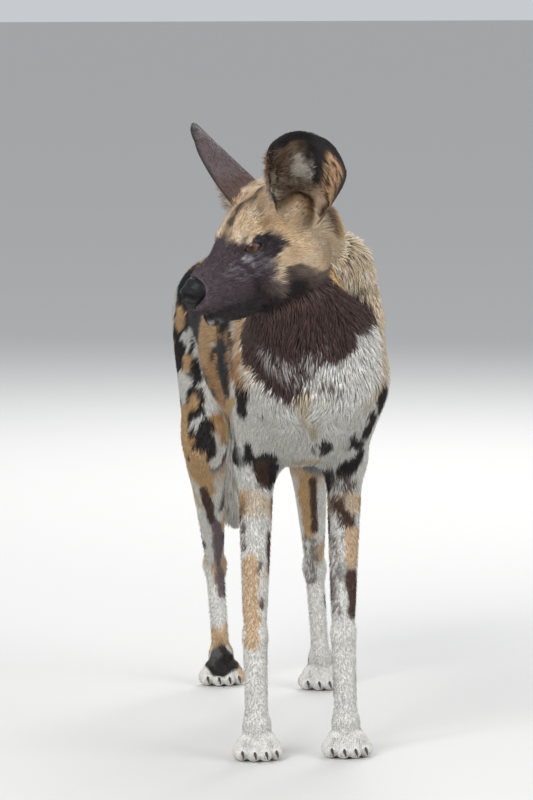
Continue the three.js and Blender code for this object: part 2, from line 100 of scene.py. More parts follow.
def ramp(value, low, high):
    """0 below low, 1 above high, smooth between."""
    t = np.clip((value - low) / (high - low), 0, 1)
    return t * t * (3 - 2 * t)


def unit(v):
    """One vector, or each row of an array, at length 1."""
    v = np.asarray(v, float)
    return v / np.maximum(np.linalg.norm(v, axis=-1, keepdims=True), 1e-9)


def in_head(forward, out, up):
    return HEAD_PLACE + forward * FORWARD + out * LEFT + up * UP


CAD_EYE = in_head(-0.003, 0.0265, -0.001)
SHIFT = np.mean([list(corner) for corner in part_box("eye_left")], axis=0) - CAD_EYE


def head_parts(points):
    """How far forward, out to the left and up each point is in the head's frame."""
    q = points - HEAD_PLACE
    return q @ FORWARD, q @ LEFT, q @ UP


print("the left eye is moved by", np.round(SHIFT, 3))

# %% [markdown]
# ## Muscles
# A dog's outline is bone under muscle under hair. Sculpting by hand would do,
# but a chart of muscles can be read and changed. Each muscle is a capsule that
# runs from one place to another with a radius at each end, and all of them
# melt together into one smooth shape. The same chart shaped the solid model,
# whose surface is the tips of the coat.

# %% One muscle
class Muscle:
    """A capsule from a to b, wide times as thick across the direction side."""

    def __init__(self, a, b, ra, rb, wide=1.0, side=X, blend=0.022):
        self.a = np.asarray(a, float)
        self.b = np.asarray(b, float)
        self.ra, self.rb, self.wide, self.blend = ra, rb, wide, blend
        self.axis = self.b - self.a
        self.length2 = max(self.axis @ self.axis, 1e-12)
        along = unit(self.axis)
        self.across = unit(side - (side @ along) * along)
        self.reach = max(ra, rb) * max(1.0, wide)

    def distance(self, points):
        q = points - self.a
        t = np.clip(q @ self.axis / self.length2, 0, 1)
        q = q - t[..., None] * self.axis
        s = q @ self.across
        rest = np.maximum((q * q).sum(-1) - s * s, 0)
        stretched = np.sqrt((s / self.wide) ** 2 + rest)
        slope = np.sqrt(s * s / self.wide**4 + rest) / np.maximum(stretched, 1e-9)
        return (stretched - (self.ra + (self.rb - self.ra) * t)) / np.maximum(slope, 1e-3)


trial = Muscle(X, Y, 0.02, 0.01)
print("a trial muscle is", round(float(trial.distance(np.zeros((1, 3)))[0]), 3), "from the origin")

# %% Head, neck and trunk
def head_muscles():
    """Skull, brow, muzzle, lips and jaw, cheeks and ear roots."""
    h = in_head
    muscles = [
        Muscle(h(-0.058, 0, 0.012), h(-0.024, 0, 0.012), 0.047, 0.036, 1.14, LEFT, 0.016),
        Muscle(h(-0.020, 0, 0.020), h(0.014, 0, 0.000), 0.024, 0.019, 1.3, LEFT, 0.014),
        Muscle(h(0.006, 0, -0.021), h(0.074, 0, -0.038), 0.032, 0.021, 0.98, LEFT, 0.016),
        Muscle(h(0.008, 0, 0.000), h(0.072, 0, -0.027), 0.014, 0.011, 1.0, LEFT, 0.012),
        Muscle(h(-0.060, 0, -0.058), h(0.020, 0, -0.066), 0.034, 0.022, 1.15, LEFT, 0.016),
        Muscle(h(0.010, 0, -0.068), h(0.060, 0, -0.075), 0.020, 0.013, 1.0, LEFT, 0.012),
        Muscle(h(-0.062, 0, 0.006), h(-0.100, 0, -0.014), 0.046, 0.045, 1.0, LEFT, 0.026),
    ]
    for _, s in SIDES:
        muscles += [
            Muscle(h(-0.052, s * 0.042, -0.016), h(0.002, s * 0.030, -0.023), 0.029, 0.014, blend=0.014),
            Muscle(h(-0.062, s * 0.036, -0.042), h(-0.022, s * 0.031, -0.048), 0.033, 0.026, blend=0.020),
            Muscle(h(-0.012, s * 0.029, 0.015), h(0.008, s * 0.022, 0.012), 0.013, 0.011, blend=0.010),
            Muscle(h(0.018, s * 0.017, -0.046), h(0.070, s * 0.010, -0.052), 0.018, 0.015, blend=0.012),
            Muscle(h(-0.062, s * 0.046, 0.030), h(-0.050, s * 0.042, 0.012), 0.024, 0.022, blend=0.018),
        ]
    return muscles


def neck_muscles():
    """The neck, its nape, the bib under the throat and the ruff at the side."""
    return [
        Muscle((-0.004, 0, 0.558), (-0.024, -0.138, 0.676), 0.086, 0.052, 0.96, blend=0.032),
        Muscle((0, 0.050, 0.600), (-0.026, -0.140, 0.684), 0.054, 0.040, 0.8, blend=0.028),
        Muscle((-0.040, -0.166, 0.616), (-0.006, -0.092, 0.542), 0.054, 0.092, 1.04, blend=0.030),
        Muscle((0.034, -0.112, 0.648), (0.047, -0.062, 0.572), 0.041, 0.048, blend=0.024),
        Muscle((0, -0.116, 0.650), (0.028, -0.110, 0.654), 0.040, 0.036, blend=0.020),
    ]


def trunk_muscles():
    """Ribs, belly, loin, back, breast and the root of the tail."""
    return [
        Muscle((-0.002, 0.020, 0.512), (0, 0.230, 0.518), 0.127, 0.116, 0.78, blend=0.036),
        Muscle((0, 0.230, 0.518), (-0.006, 0.420, 0.546), 0.116, 0.088, 0.88, blend=0.036),
        Muscle((-0.006, 0.420, 0.550), (-0.010, 0.540, 0.550), 0.086, 0.060, 0.95, blend=0.032),
        Muscle((0, 0.030, 0.606), (0, 0.260, 0.596), 0.046, 0.040, 0.8, blend=0.034),
        Muscle((0, -0.070, 0.490), (0, 0.060, 0.440), 0.074, 0.066, 1.1, blend=0.036),
        Muscle((-0.010, 0.540, 0.590), (-0.010, 0.590, 0.592), 0.040, 0.026, blend=0.026),
    ]


def vec(*xyz):
    return np.array(xyz, float)


print("muscles of head, neck and trunk", len(head_muscles() + neck_muscles() + trunk_muscles()))

# %% [markdown]
# ## Legs, feet and tail
# A leg is a chain of joints. The fore and hind legs bend opposite ways, and a
# dog stands on its toes, so the wrist and the hock are well off the ground.
# The right hind foot stands behind the left one, as in the picture.

# %% Legs, feet and tail
# shoulder, elbow, wrist and foot
FORELEG = {
    "left": np.array([
        (0.053, -0.062, 0.496), (0.060, 0.038, 0.388), (0.054, 0.010, 0.158), (0.055, -0.004, 0.044),
    ]),
    "right": np.array([
        (-0.057, -0.064, 0.496), (-0.057, 0.034, 0.388), (-0.063, 0.006, 0.158), (-0.063, -0.008, 0.044),
    ]),
}
# hip, knee, hock and foot
HINDLEG = {
    "left": np.array([
        (0.042, 0.512, 0.556), (0.076, 0.418, 0.372), (0.108, 0.556, 0.168), (0.112, 0.526, 0.042),
    ]),
    "right": np.array([
        (-0.055, 0.520, 0.536), (-0.066, 0.440, 0.372), (-0.026, 0.616, 0.166), (-0.022, 0.584, 0.042),
    ]),
}


def foreleg_muscles(name, s):
    """Shoulder blade, upper arm, forearm and pastern."""
    shoulder, elbow, wrist, foot = FORELEG[name]
    return [
        Muscle(vec(s * 0.045, 0.044, 0.590), shoulder, 0.046, 0.046, 0.76, blend=0.030),
        Muscle(shoulder, elbow, 0.046, 0.032, 0.86, blend=0.030),
        Muscle(vec(s * 0.066, 0.078, 0.560), elbow + vec(0, 0.008, 0.014), 0.052, 0.026, 0.62, blend=0.030),
        Muscle(elbow, wrist, 0.026, 0.016, 0.98, blend=0.020),
        Muscle(elbow + vec(0, 0.016, 0), wrist + vec(0, 0.008, 0.030), 0.017, 0.009, blend=0.016),
        Muscle(wrist, foot, 0.017, 0.0155, 1.05, blend=0.010),
        Muscle(wrist + vec(0, 0.016, -0.006), wrist + vec(0, 0.012, -0.022), 0.009, 0.006, blend=0.008),
    ]


def hindleg_muscles(name):
    """Thigh, buttock, lower leg with its calf and tendon, hock and instep."""
    hip, knee, hock, foot = HINDLEG[name]
    heel = hock + vec(0, 0.014, 0.010)
    calf = knee + 0.3 * (hock - knee) + vec(0, 0.022, 0.014)
    return [
        Muscle(hip, knee, 0.070, 0.046, 0.66, blend=0.030),
        Muscle(hip + vec(0, 0.046, -0.034), knee + 0.35 * (hock - knee) + vec(0, 0.026, 0.034),
               0.050, 0.028, 0.64, blend=0.028),
        Muscle(hip + vec(0, 0.014, -0.060), knee + 0.14 * (hock - knee) + vec(0, 0.022, 0.004),
               0.042, 0.033, 0.7, blend=0.024),
        Muscle(knee, hock, 0.035, 0.018, 0.82, blend=0.020),
        Muscle(calf, hock + vec(0, -0.004, 0.040), 0.031, 0.014, 0.8, blend=0.018),
        Muscle(knee + 0.5 * (hock - knee) + vec(0, 0.030, 0.012), heel, 0.012, 0.010, blend=0.012),
        Muscle(hock, heel, 0.018, 0.013, blend=0.010),
        Muscle(hock, foot, 0.0165, 0.015, 0.95, blend=0.010),
    ]


TOES = (-1.5, -0.5, 0.5, 1.5)
TOE = {"apart": 0.015, "set_back": 0.009, "radius": 0.0115, "height": 0.0085, "reach": 0.030, "pad": 0.014}


def toe_tip(foot, k):
    return vec(foot[0] + k * TOE["apart"], foot[1] - TOE["reach"] + TOE["set_back"] * abs(k), TOE["height"])


def paw_muscles(foot):
    """One broad pad and four toes, the outer two set back."""
    pad = vec(foot[0], foot[1] + 0.004, TOE["pad"])
    muscles = [
        Muscle(foot, pad + vec(0, -0.006, 0.004), 0.0155, 0.017, 1.2, blend=0.010),
        Muscle(pad, pad + vec(0, -0.014, -0.004), 0.018, 0.014, 1.35, blend=0.008),
    ]
    for k in TOES:
        tip = toe_tip(foot, k)
        joint = tip + vec(0, 0.010, 0.003)
        knuckle = vec(foot[0] + k * TOE["apart"] * 0.7, foot[1] - 0.008, 0.026)
        muscles.append(Muscle(knuckle, joint, 0.0105, TOE["radius"], blend=0.005))
        muscles.append(Muscle(joint, tip, TOE["radius"], 0.0095, blend=0.003))
    return muscles


TAIL = (
    (-0.010, 0.574, 0.596, 0.024), (-0.008, 0.624, 0.548, 0.025), (-0.004, 0.650, 0.470, 0.029),
    (0, 0.652, 0.380, 0.035), (0.003, 0.644, 0.290, 0.034), (0.005, 0.636, 0.238, 0.020),
)


def tail_muscles():
    return [Muscle(a[:3], b[:3], a[3], b[3], blend=0.012) for a, b in zip(TAIL, TAIL[1:])]


print("tail stations", len(TAIL))

# %% The whole chart
CHART = [("trunk", trunk_muscles()), ("neck", neck_muscles()), ("head", head_muscles())]
for name, s in SIDES:
    CHART += [
        ("foreleg", foreleg_muscles(name, s)), ("hindleg", hindleg_muscles(name)),
        ("paw", paw_muscles(FORELEG[name][3])), ("paw", paw_muscles(HINDLEG[name][3])),
    ]
CHART.append(("tail", tail_muscles()))
REGIONS = ("trunk", "neck", "head", "foreleg", "hindleg", "paw", "tail")
print("muscles", sum(len(m) for _, m in CHART))

# %% [markdown]
# ## How deep the coat is
# The solid model ends at the tips of the hair, so the skin lies under it by the
# depth of the coat, which differs from the ruff to the feet. Each point takes
# its share of each region by how near that region's muscles are.

# %% Coat depth and the skin's distance
COAT_DEPTH = {
    "trunk": 0.0065, "neck": 0.013, "head": 0.0024, "foreleg": 0.003,
    "hindleg": 0.004, "paw": 0.0012, "tail": 0.012,
}
SHARE_REACH = 0.012
MELT_MARGIN = 0.06
GRID_MARGIN = 0.05


def melt(d, other, blend):
    """Smooth union of two distances."""
    h = np.maximum(blend - np.abs(d - other), 0) / blend
    return np.minimum(d, other) - h * h * blend / 4


def chart_distances(points):
    """Distance to the whole melted body, and to each region by itself."""
    whole = np.full(len(points), FAR)
    regions = {r: np.full(len(points), FAR) for r in REGIONS}
    for region, muscles in CHART:
        for m in muscles:
            low = np.minimum(m.a, m.b) - m.reach - MELT_MARGIN
            high = np.maximum(m.a, m.b) + m.reach + MELT_MARGIN
            near = np.all((points > low) & (points < high), axis=1)
            if not near.any():
                continue
            d = m.distance(points[near])
            whole[near] = melt(whole[near], d, m.blend)
            regions[region][near] = melt(regions[region][near], d, m.blend)
    return whole, regions


def shares(regions):
    """Each region's share of each point, adding to 1."""
    stack = np.stack([regions[r] for r in REGIONS])
    w = np.exp(-np.minimum((stack - stack.min(axis=0)) / SHARE_REACH, 30))
    return w / w.sum(axis=0)


def coat_depth(share):
    return np.tensordot(np.array([COAT_DEPTH[r] for r in REGIONS]), share, axes=1)


print("coat on the ruff", COAT_DEPTH["neck"], "and on the feet", COAT_DEPTH["paw"])

# %% [markdown]
# ## Fine forms of the face
# The chart alone would leave a smooth face. The lips meet in a groove that
# runs back and up from under the nose, and each eye lies in a socket with the
# skin drawn round the ball. Both are added to the distance near the head only.

# %% Face details
EYE = {"forward": -0.003, "out": 0.0256, "up": -0.001, "radius": 0.0123}
EYE_LOOK = {"forward": 0.50, "out": 0.86, "up": 0.04}
GAZE = {"forward": 0.66, "out": 0.74, "up": 0.02}
EYE_OPEN = {"half_length": 0.0119, "upper": 0.0040, "lower": 0.0050, "tilt": math.radians(6)}
NOSE_BACK = {"top": 0.0735, "lip": 0.0865, "blend": 0.004}
LIP_GROOVE = {"deep": 0.0026, "wide": 0.0019}
LID = {"thick": 0.0013, "blend": 0.006, "behind": 0.004}
FACE_REACH = 0.16
LIP_LINE = (
    (0.088, 0.000, -0.0590), (0.084, 0.009, -0.0605), (0.070, 0.017, -0.0640), (0.050, 0.0225, -0.0670),
    (0.030, 0.026, -0.0685), (0.012, 0.030, -0.0680), (-0.004, 0.034, -0.0650),
)


def eye_frame(s, aim=EYE_LOOK):
    """The centre of one eyeball, and the ways it faces, runs along and up."""
    centre = in_head(EYE["forward"], s * EYE["out"], EYE["up"])
    look = unit(aim["forward"] * FORWARD + s * aim["out"] * LEFT + aim["up"] * UP)
    tilt = EYE_OPEN["tilt"]
    along = unit(FORWARD - (FORWARD @ look) * look)
    up = unit(np.cross(look, along) * s)
    if up @ UP < 0:
        up = -up
    cos, sin = math.cos(tilt), math.sin(tilt)
    return centre, look, cos * along - sin * up, cos * up + sin * along


def lid_height(x, upper):
    """Height of the lid's edge over the eye's middle line, x along the opening."""
    t = np.clip(x / EYE_OPEN["half_length"], -1, 1)
    return (EYE_OPEN["upper"] if upper else EYE_OPEN["lower"]) * (1 - t * t) ** 0.8


def eye_opening(points, s):
    """Below 0 inside the almond of the opening, seen along the gaze."""
    centre, look, along, up = eye_frame(s)
    q = points - centre
    x, y, depth = q @ along, q @ up, q @ look
    edge = np.maximum(y - lid_height(x, True), -lid_height(x, False) - y)
    edge = np.maximum(edge, np.abs(x) - EYE_OPEN["half_length"])
    return np.where(depth > 0, edge, 0.02), np.linalg.norm(q, axis=1)


def line_distance(points, line):
    """Distance from each point to a bent line."""
    best = np.full(len(points), FAR)
    for a, b in zip(line, line[1:]):
        ab = b - a
        t = np.clip((points - a) @ ab / (ab @ ab), 0, 1)
        best = np.minimum(best, np.linalg.norm(points - a - t[:, None] * ab, axis=1))
    return best


def skin_distance(points, fine=True):
    """Distance to the skin under the coat."""
    whole, regions = chart_distances(points)
    d = whole + coat_depth(shares(regions))
    if not fine:
        return d
    near = np.linalg.norm(points - HEAD_PLACE, axis=1) < FACE_REACH
    p = points[near]
    face = d[near]
    for _, s in SIDES:
        line = [in_head(f, s * out, u) for f, out, u in LIP_LINE]
        face = face + LIP_GROOVE["deep"] * np.exp(-(line_distance(p, line) / LIP_GROOVE["wide"]) ** 2)
        edge, ball = eye_opening(p, s)
        lid = ball - EYE["radius"] - LID["thick"]
        face = melt(face, lid, LID["blend"])
        hole = np.maximum(edge, EYE["radius"] - LID["behind"] - ball)
        face = np.maximum(face, -hole)
    f, _, u = head_parts(p)
    snout = f - mix(NOSE_BACK["top"], NOSE_BACK["lip"], ramp(-u, 0.042, 0.056))
    face = -melt(-face, -snout, NOSE_BACK["blend"])
    d[near] = face
    return d


print("lip line of", len(LIP_LINE), "places, eye radius", EYE["radius"])

# %% [markdown]
# ## From distances to a skin
# The distance is read on a grid, and each cell that the skin crosses gets one
# vertex: this is called surface nets, and it gives even squares that subdivide
# well. Marching cubes would do, but leaves slivers. The squares of the head
# and feet are then split into finer ones and drawn on to the skin again.

# %% Surface nets
GRID = 0.0052
GRID_LOW = vec(-0.245, -0.300, -0.012)
GRID_HIGH = vec(0.160, 0.705, 0.800)
SLOPE_STEP = 0.0004
SOLE_LIFT = 0.0005


def grid_field():
    """The skin's distance on the whole grid, muscle by muscle."""
    count = np.ceil((GRID_HIGH - GRID_LOW) / GRID).astype(int) + 1
    axes = [GRID_LOW[i] + GRID * np.arange(count[i]) for i in range(3)]
    whole = np.full(count, FAR, np.float32)
    regions = {r: np.full(count, FAR, np.float32) for r in REGIONS}
    for region, muscles in CHART:
        for m in muscles:
            low = np.minimum(m.a, m.b) - m.reach - GRID_MARGIN
            high = np.maximum(m.a, m.b) + m.reach + GRID_MARGIN
            s = tuple(slice(*np.searchsorted(axes[i], (low[i], high[i]))) for i in range(3))
            block = np.stack(np.meshgrid(*[axes[i][s[i]] for i in range(3)], indexing="ij"), -1)
            d = m.distance(block)
            whole[s] = melt(whole[s], d, m.blend)
            regions[region][s] = melt(regions[region][s], d, m.blend)
    return whole + coat_depth(shares(regions)).astype(np.float32)


def surface_nets(field, low, step):
    """Vertices and outward squares where a field crosses zero."""
    inside = field < 0
    corners = [(i, j, k) for i in (0, 1) for j in (0, 1) for k in (0, 1)]
    cut = np.zeros(np.array(field.shape) - 1, int)
    for i, j, k in corners:
        cut += inside[i:i + cut.shape[0], j:j + cut.shape[1], k:k + cut.shape[2]]
    cells = np.argwhere((cut > 0) & (cut < 8))
    value = [field[tuple((cells + c).T)] for c in corners]
    total = np.zeros((len(cells), 3))
    crossings = np.zeros(len(cells))
    for a, ca in enumerate(corners):
        for b in range(a + 1, 8):
            cb = corners[b]
            if sum(abs(x - y) for x, y in zip(ca, cb)) != 1:
                continue
            va, vb = value[a], value[b]
            crossed = (va < 0) != (vb < 0)
            t = np.where(crossed, va / np.where(crossed, va - vb, 1), 0)
            place = np.array(ca) + t[:, None] * (np.array(cb) - np.array(ca))
            total += place * crossed[:, None]
            crossings += crossed
    verts = low + step * (cells + total / crossings[:, None])
    index = np.full(cut.shape, -1)
    index[tuple(cells.T)] = np.arange(len(cells))
    faces = []
    for axis in range(3):
        here = np.swapaxes(inside, 0, axis)[:-1]
        there = np.swapaxes(inside, 0, axis)[1:]
        edges = np.argwhere(here != there)
        outward = np.swapaxes(inside, 0, axis)[tuple(edges.T)]
        edges[:, [0, axis]] = edges[:, [axis, 0]]
        u, v = np.eye(3, dtype=int)[(axis + 1) % 3], np.eye(3, dtype=int)[(axis + 2) % 3]
        ring = [index[tuple((edges - m * u - n * v).T)] for m, n in ((0, 0), (1, 0), (1, 1), (0, 1))]
        quads = np.stack(ring, 1)
        quads[~outward] = quads[~outward][:, ::-1]
        faces.append(quads)
    return verts, np.concatenate(faces)


def draw_on(verts, distance, passes=3, most=0.012):
    """Moves points on to the skin along its slope."""
    for _ in range(passes):
        d = distance(verts)
        slope = np.stack([distance(verts + SLOPE_STEP * axis) - d for axis in (X, Y, Z)], 1) / SLOPE_STEP
        step = d / np.maximum((slope * slope).sum(1), 0.3)
        verts = verts - np.clip(step, -most, most)[:, None] * slope
    return verts


def split_near(bm, wanted):
    """Splits the faces whose middles are wanted, and gives back the vertices there."""
    faces = [f for f in bm.faces if wanted(f.calc_center_median())]
    edges = list({e for f in faces for e in f.edges})
    bmesh.ops.subdivide_edges(bm, edges=edges, cuts=1, use_grid_fill=True)
    bm.verts.ensure_lookup_table()
    return [v for v in bm.verts if wanted(v.co)]


def draw_vertices(verts, distance):
    moved = draw_on(np.array([v.co for v in verts]), distance)
    for v, place in zip(verts, moved):
        v.co = place


field = grid_field()
skin_verts, skin_faces = surface_nets(field, GRID_LOW, GRID)
skin_verts = draw_on(skin_verts, lambda p: skin_distance(p, fine=False), passes=2)
print("skin from the grid", len(skin_verts), "vertices", len(skin_faces), "squares")

# %% [markdown]
# ## Finer squares where the forms are small
# Lips, lids, nose and toes are smaller than a square of the grid. The squares
# there are split again and again, and their points drawn on to the skin.

# %% Finer squares on the face and feet
def head_box(point, low, high):
    f, o, u = head_parts(np.array(point))
    return low[0] < f < high[0] and low[1] < abs(o) < high[1] and low[2] < u < high[2]


def on_face(point):
    return head_box(point, (-0.085, -0.01, -0.12), (0.12, 0.09, 0.08))


def on_lips_or_eyes(point):
    lips = head_box(point, (-0.012, -0.01, -0.082), (0.12, 0.05, -0.050))
    nose = head_box(point, (0.060, -0.01, -0.090), (0.12, 0.04, 0.000))
    return lips or nose or head_box(point, (-0.024, 0.010, -0.022), (0.024, 0.060, 0.022))


def on_lids(point):
    return head_box(point, (-0.019, 0.014, -0.014), (0.014, 0.050, 0.013))


def on_feet(point):
    return point[2] < 0.052


def make_object(name, verts, faces, material=None):
    mesh = bpy.data.meshes.new(name)
    mesh.from_pydata((np.asarray(verts) + SHIFT).tolist(), [], [list(f) for f in faces])
    mesh.update()
    obj = bpy.data.objects.new(name, mesh)
    bpy.context.scene.collection.objects.link(obj)
    if material:
        mesh.materials.append(material)
    return obj


bm = bmesh.new()
bm_verts = [bm.verts.new(v) for v in skin_verts]
for square in skin_faces:
    bm.faces.new([bm_verts[i] for i in square])
for wanted in (on_face, on_lips_or_eyes, on_lids, on_feet):
    draw_vertices(split_near(bm, wanted), skin_distance)
for v in bm.verts:
    v.co.z = max(v.co.z, SOLE_LIFT)
bmesh.ops.triangulate(bm, faces=bm.faces)
bm.verts.index_update()
skin_verts = np.array([v.co for v in bm.verts])
skin_faces = np.array([[v.index for v in f.verts] for f in bm.faces])
bm.free()
print("skin split finer", len(skin_verts), "vertices", len(skin_faces), "triangles")

# %% [markdown]
# ## The ears
# A wild dog's ears are round, upright and as tall as its face. Each is a thin
# cupped sheet of gristle, deep at its foot and flat near its top. The sheet is
# laid out by two numbers: u runs across from edge to edge and v from foot to
# tip. The same two numbers later tell the hair where it is.

# %% Ear sheets
EAR = {"length": 0.120, "arc": 0.062, "thick": 0.0055, "widest": 0.5, "depth": 0.024}
EAR_FOOT_PLACE = {"forward": -0.064, "out": 0.064, "up": 0.039}


def ear_point(s, u, v, layer):
    """A place on the ear of side s; layer 0 is the coat inside the cup and 1 behind."""
    up = unit(UP + 0.78 * s * LEFT + 0.06 * FORWARD)
    facing = 0.74 * FORWARD + 0.67 * s * LEFT
    facing = unit(facing - (facing @ up) * up)
    across = -s * np.cross(up, facing)
    u, v = np.broadcast_arrays(np.asarray(u, float), np.asarray(v, float))
    past = np.clip((v - EAR["widest"]) / (1.004 - EAR["widest"]), 0, 1)
    rounded = np.where(v < EAR["widest"], mix(1.06, 1, v / EAR["widest"]), np.sqrt(1 - past**2))
    bend = mix(2.0, 0.75, np.minimum(v / 0.7, 1)) * mix(1, rounded, v)
    middle = EAR["arc"] * rounded / bend
    thick = EAR["thick"] * mix(1, 0.5, v) * (1 - 0.5 * u * u)
    radius = middle - thick * (1 - layer)
    return (
        in_head(EAR_FOOT_PLACE["forward"], s * EAR_FOOT_PLACE["out"], EAR_FOOT_PLACE["up"])
        + (EAR["length"] * v)[..., None] * up
        + (radius * np.sin(u * bend))[..., None] * across
        + (middle - radius * np.cos(u * bend) - EAR["depth"] * (1 - v))[..., None] * facing
    )


def ear_shell(s, across=28, along=34):
    """One closed ear of skin, its two layers inside the coat's."""
    u = np.linspace(-0.975, 0.975, across + 1)
    v = np.sin(np.linspace(-0.10, 1, along + 1) * math.pi / 2) * 0.985
    grid_u, grid_v = np.meshgrid(u, v)
    layers = [ear_point(s, grid_u, grid_v, layer).reshape(-1, 3) for layer in (0.32, 0.74)]
    count = (across + 1) * (along + 1)

    def at(i, j, layer):
        return layer * count + j * (across + 1) + i

    faces = []
    for j in range(along):
        for i in range(across):
            faces.append((at(i, j, 0), at(i, j + 1, 0), at(i + 1, j + 1, 0), at(i + 1, j, 0)))
            faces.append((at(i, j, 1), at(i + 1, j, 1), at(i + 1, j + 1, 1), at(i, j + 1, 1)))
        faces.append((at(0, j, 0), at(0, j, 1), at(0, j + 1, 1), at(0, j + 1, 0)))
        faces.append((at(across, j, 0), at(across, j + 1, 0), at(across, j + 1, 1), at(across, j, 1)))
    for i in range(across):
        faces.append((at(i, 0, 0), at(i + 1, 0, 0), at(i + 1, 0, 1), at(i, 0, 1)))
        faces.append((at(i, along, 0), at(i, along, 1), at(i + 1, along, 1), at(i + 1, along, 0)))
    if s < 0:
        faces = [f[::-1] for f in faces]
    return np.concatenate(layers), faces


skin = make_object("skin", skin_verts, skin_faces)
for name, s in SIDES:
    ear = make_object("ear_" + name, *ear_shell(s))
    join = skin.modifiers.new("ear", "BOOLEAN")
    join.operation = "UNION"
    join.solver = "MANIFOLD"
    join.object = ear
    bpy.context.view_layer.update()
    joined = bpy.data.meshes.new_from_object(skin.evaluated_get(bpy.context.evaluated_depsgraph_get()))
    skin.modifiers.clear()
    skin.data = joined
    bpy.data.objects.remove(ear)
print("skin with ears", len(skin.data.vertices), "vertices", len(skin.data.polygons), "faces")

# %% [markdown]
# ## Markings
# No two wild dogs have the same coat: black, ochre and white lie in blotches,
# and the hair is sparse enough for dark skin to show on the ears and muzzle.
# The colour of each place is a rule, read for the skin and for every tuft's
# root alike: first by region, then blotches from a seeded noise, then the
# marks that are seen from the camera's side, each a named patch on the body.

# %% Colours and noise
def linear(r, g, b):
    """A display colour, 0 to 255, as linear light."""
    c = np.array((r, g, b)) / 255
    return np.where(c <= 0.04045, c / 12.92, ((c + 0.055) / 1.055) ** 2.4)


BLACK = linear(38, 31, 32)
BROWN = linear(82, 58, 48)
MUZZLE = linear(70, 57, 62)
BIB = linear(78, 58, 54)
OCHRE = linear(190, 145, 96)
TAN = linear(206, 170, 124)
CREAM = linear(224, 204, 176)
WHITE = linear(228, 226, 220)
GREY = linear(146, 137, 133)
MAUVE = linear(122, 106, 110)


def noise(points, size, seed):
    """Smooth noise from 0 to 1 with bumps about size across."""
    lattice = np.random.default_rng(seed).random((32, 32, 32))
    q = points / size + 3.7 * seed
    cell = np.floor(q).astype(int)
    f = q - cell
    f = f * f * (3 - 2 * f)
    total = 0
    for i in (0, 1):
        for j in (0, 1):
            for k in (0, 1):
                weight = np.prod(np.where((i, j, k), f, 1 - f), axis=-1)
                c = (cell + (i, j, k)) % 32
                total = total + weight * lattice[c[..., 0], c[..., 1], c[..., 2]]
    return total


def paint(colour, over, amount):
    return colour + (over - colour) * np.clip(amount, 0, 1)[:, None]


def layered(colour, *layers):
    """Paints inks over a colour in turn, each by its own amount at each point."""
    for ink, amount in layers:
        colour = paint(colour, ink, amount)
    return colour


def plain(ink, points):
    """One ink at every point."""
    return np.tile(ink, (len(points), 1))


print("ochre as light", np.round(OCHRE, 2))

# %% [markdown]
# ## The camera
# The picture was taken with a long lens from a little above the dog's back and
# 9 degrees round to its right. The camera is made first, because the marks on
# the seen side are named by where they lie in its picture, 533 by 800 dots.

# %% Camera
WIDE, HIGH = 533, 800
VIEW_AZIMUTH = math.radians(-9)
VIEW_ELEVATION = math.radians(6)
VIEW_DISTANCE = 6.0
VIEW_TARGET = vec(-0.049, 0, 0.467)
FOCAL_DOTS = 4651
SENSOR = 36
MARCH = {"start": VIEW_DISTANCE - 0.5, "steps": 70, "most": 0.03}
BACK = vec(
    math.sin(VIEW_AZIMUTH) * math.cos(VIEW_ELEVATION),
    -math.cos(VIEW_AZIMUTH) * math.cos(VIEW_ELEVATION),
    math.sin(VIEW_ELEVATION),
)
EYE_POINT = VIEW_TARGET + VIEW_DISTANCE * BACK
RIGHT = vec(math.cos(VIEW_AZIMUTH), math.sin(VIEW_AZIMUTH), 0)
OVER = np.cross(BACK, RIGHT)

camera_data = bpy.data.cameras.new("camera")
camera_data.sensor_width = SENSOR
camera_data.lens = SENSOR * FOCAL_DOTS / HIGH
camera_data.clip_end = 60
camera = bpy.data.objects.new("camera", camera_data)
bpy.context.scene.collection.objects.link(camera)
camera.location = EYE_POINT + SHIFT
camera.rotation_mode = "QUATERNION"
camera.rotation_quaternion = Vector(-BACK).to_track_quat("-Z", "Y")
bpy.context.scene.camera = camera


def on_body(across, down):
    """The first places on the body behind dots of the picture."""
    across, down = np.atleast_1d(across).astype(float), np.atleast_1d(down).astype(float)
    ray = unit(
        -BACK
        + ((across - WIDE / 2) / FOCAL_DOTS)[:, None] * RIGHT
        - ((down - HIGH / 2) / FOCAL_DOTS)[:, None] * OVER
    )
    travel = np.full(len(ray), MARCH["start"])
    for _ in range(MARCH["steps"]):
        d, _ = chart_distances(EYE_POINT + travel[:, None] * ray)
        travel += np.clip(d, -MARCH["most"], MARCH["most"])
    return EYE_POINT + travel[:, None] * ray


print("camera lens", round(camera_data.lens, 1))

# %% [markdown]
# ## Where each colour lies
# The face is dark to behind the eye, with a tan forehead parted by a dark line.
# The throat has a brown bib, the ruff and legs are pale, the tail ends in a
# white brush. A painted picture would tie the coat to one view, so the face is
# written in the head's own frame, mirrored left to right, and the body's marks
# are strokes: lines with a width at each end, laid on the body where the
# camera sees them and reaching a little way round it. Sides that aren't seen
# get blotches from noise in the same colours.

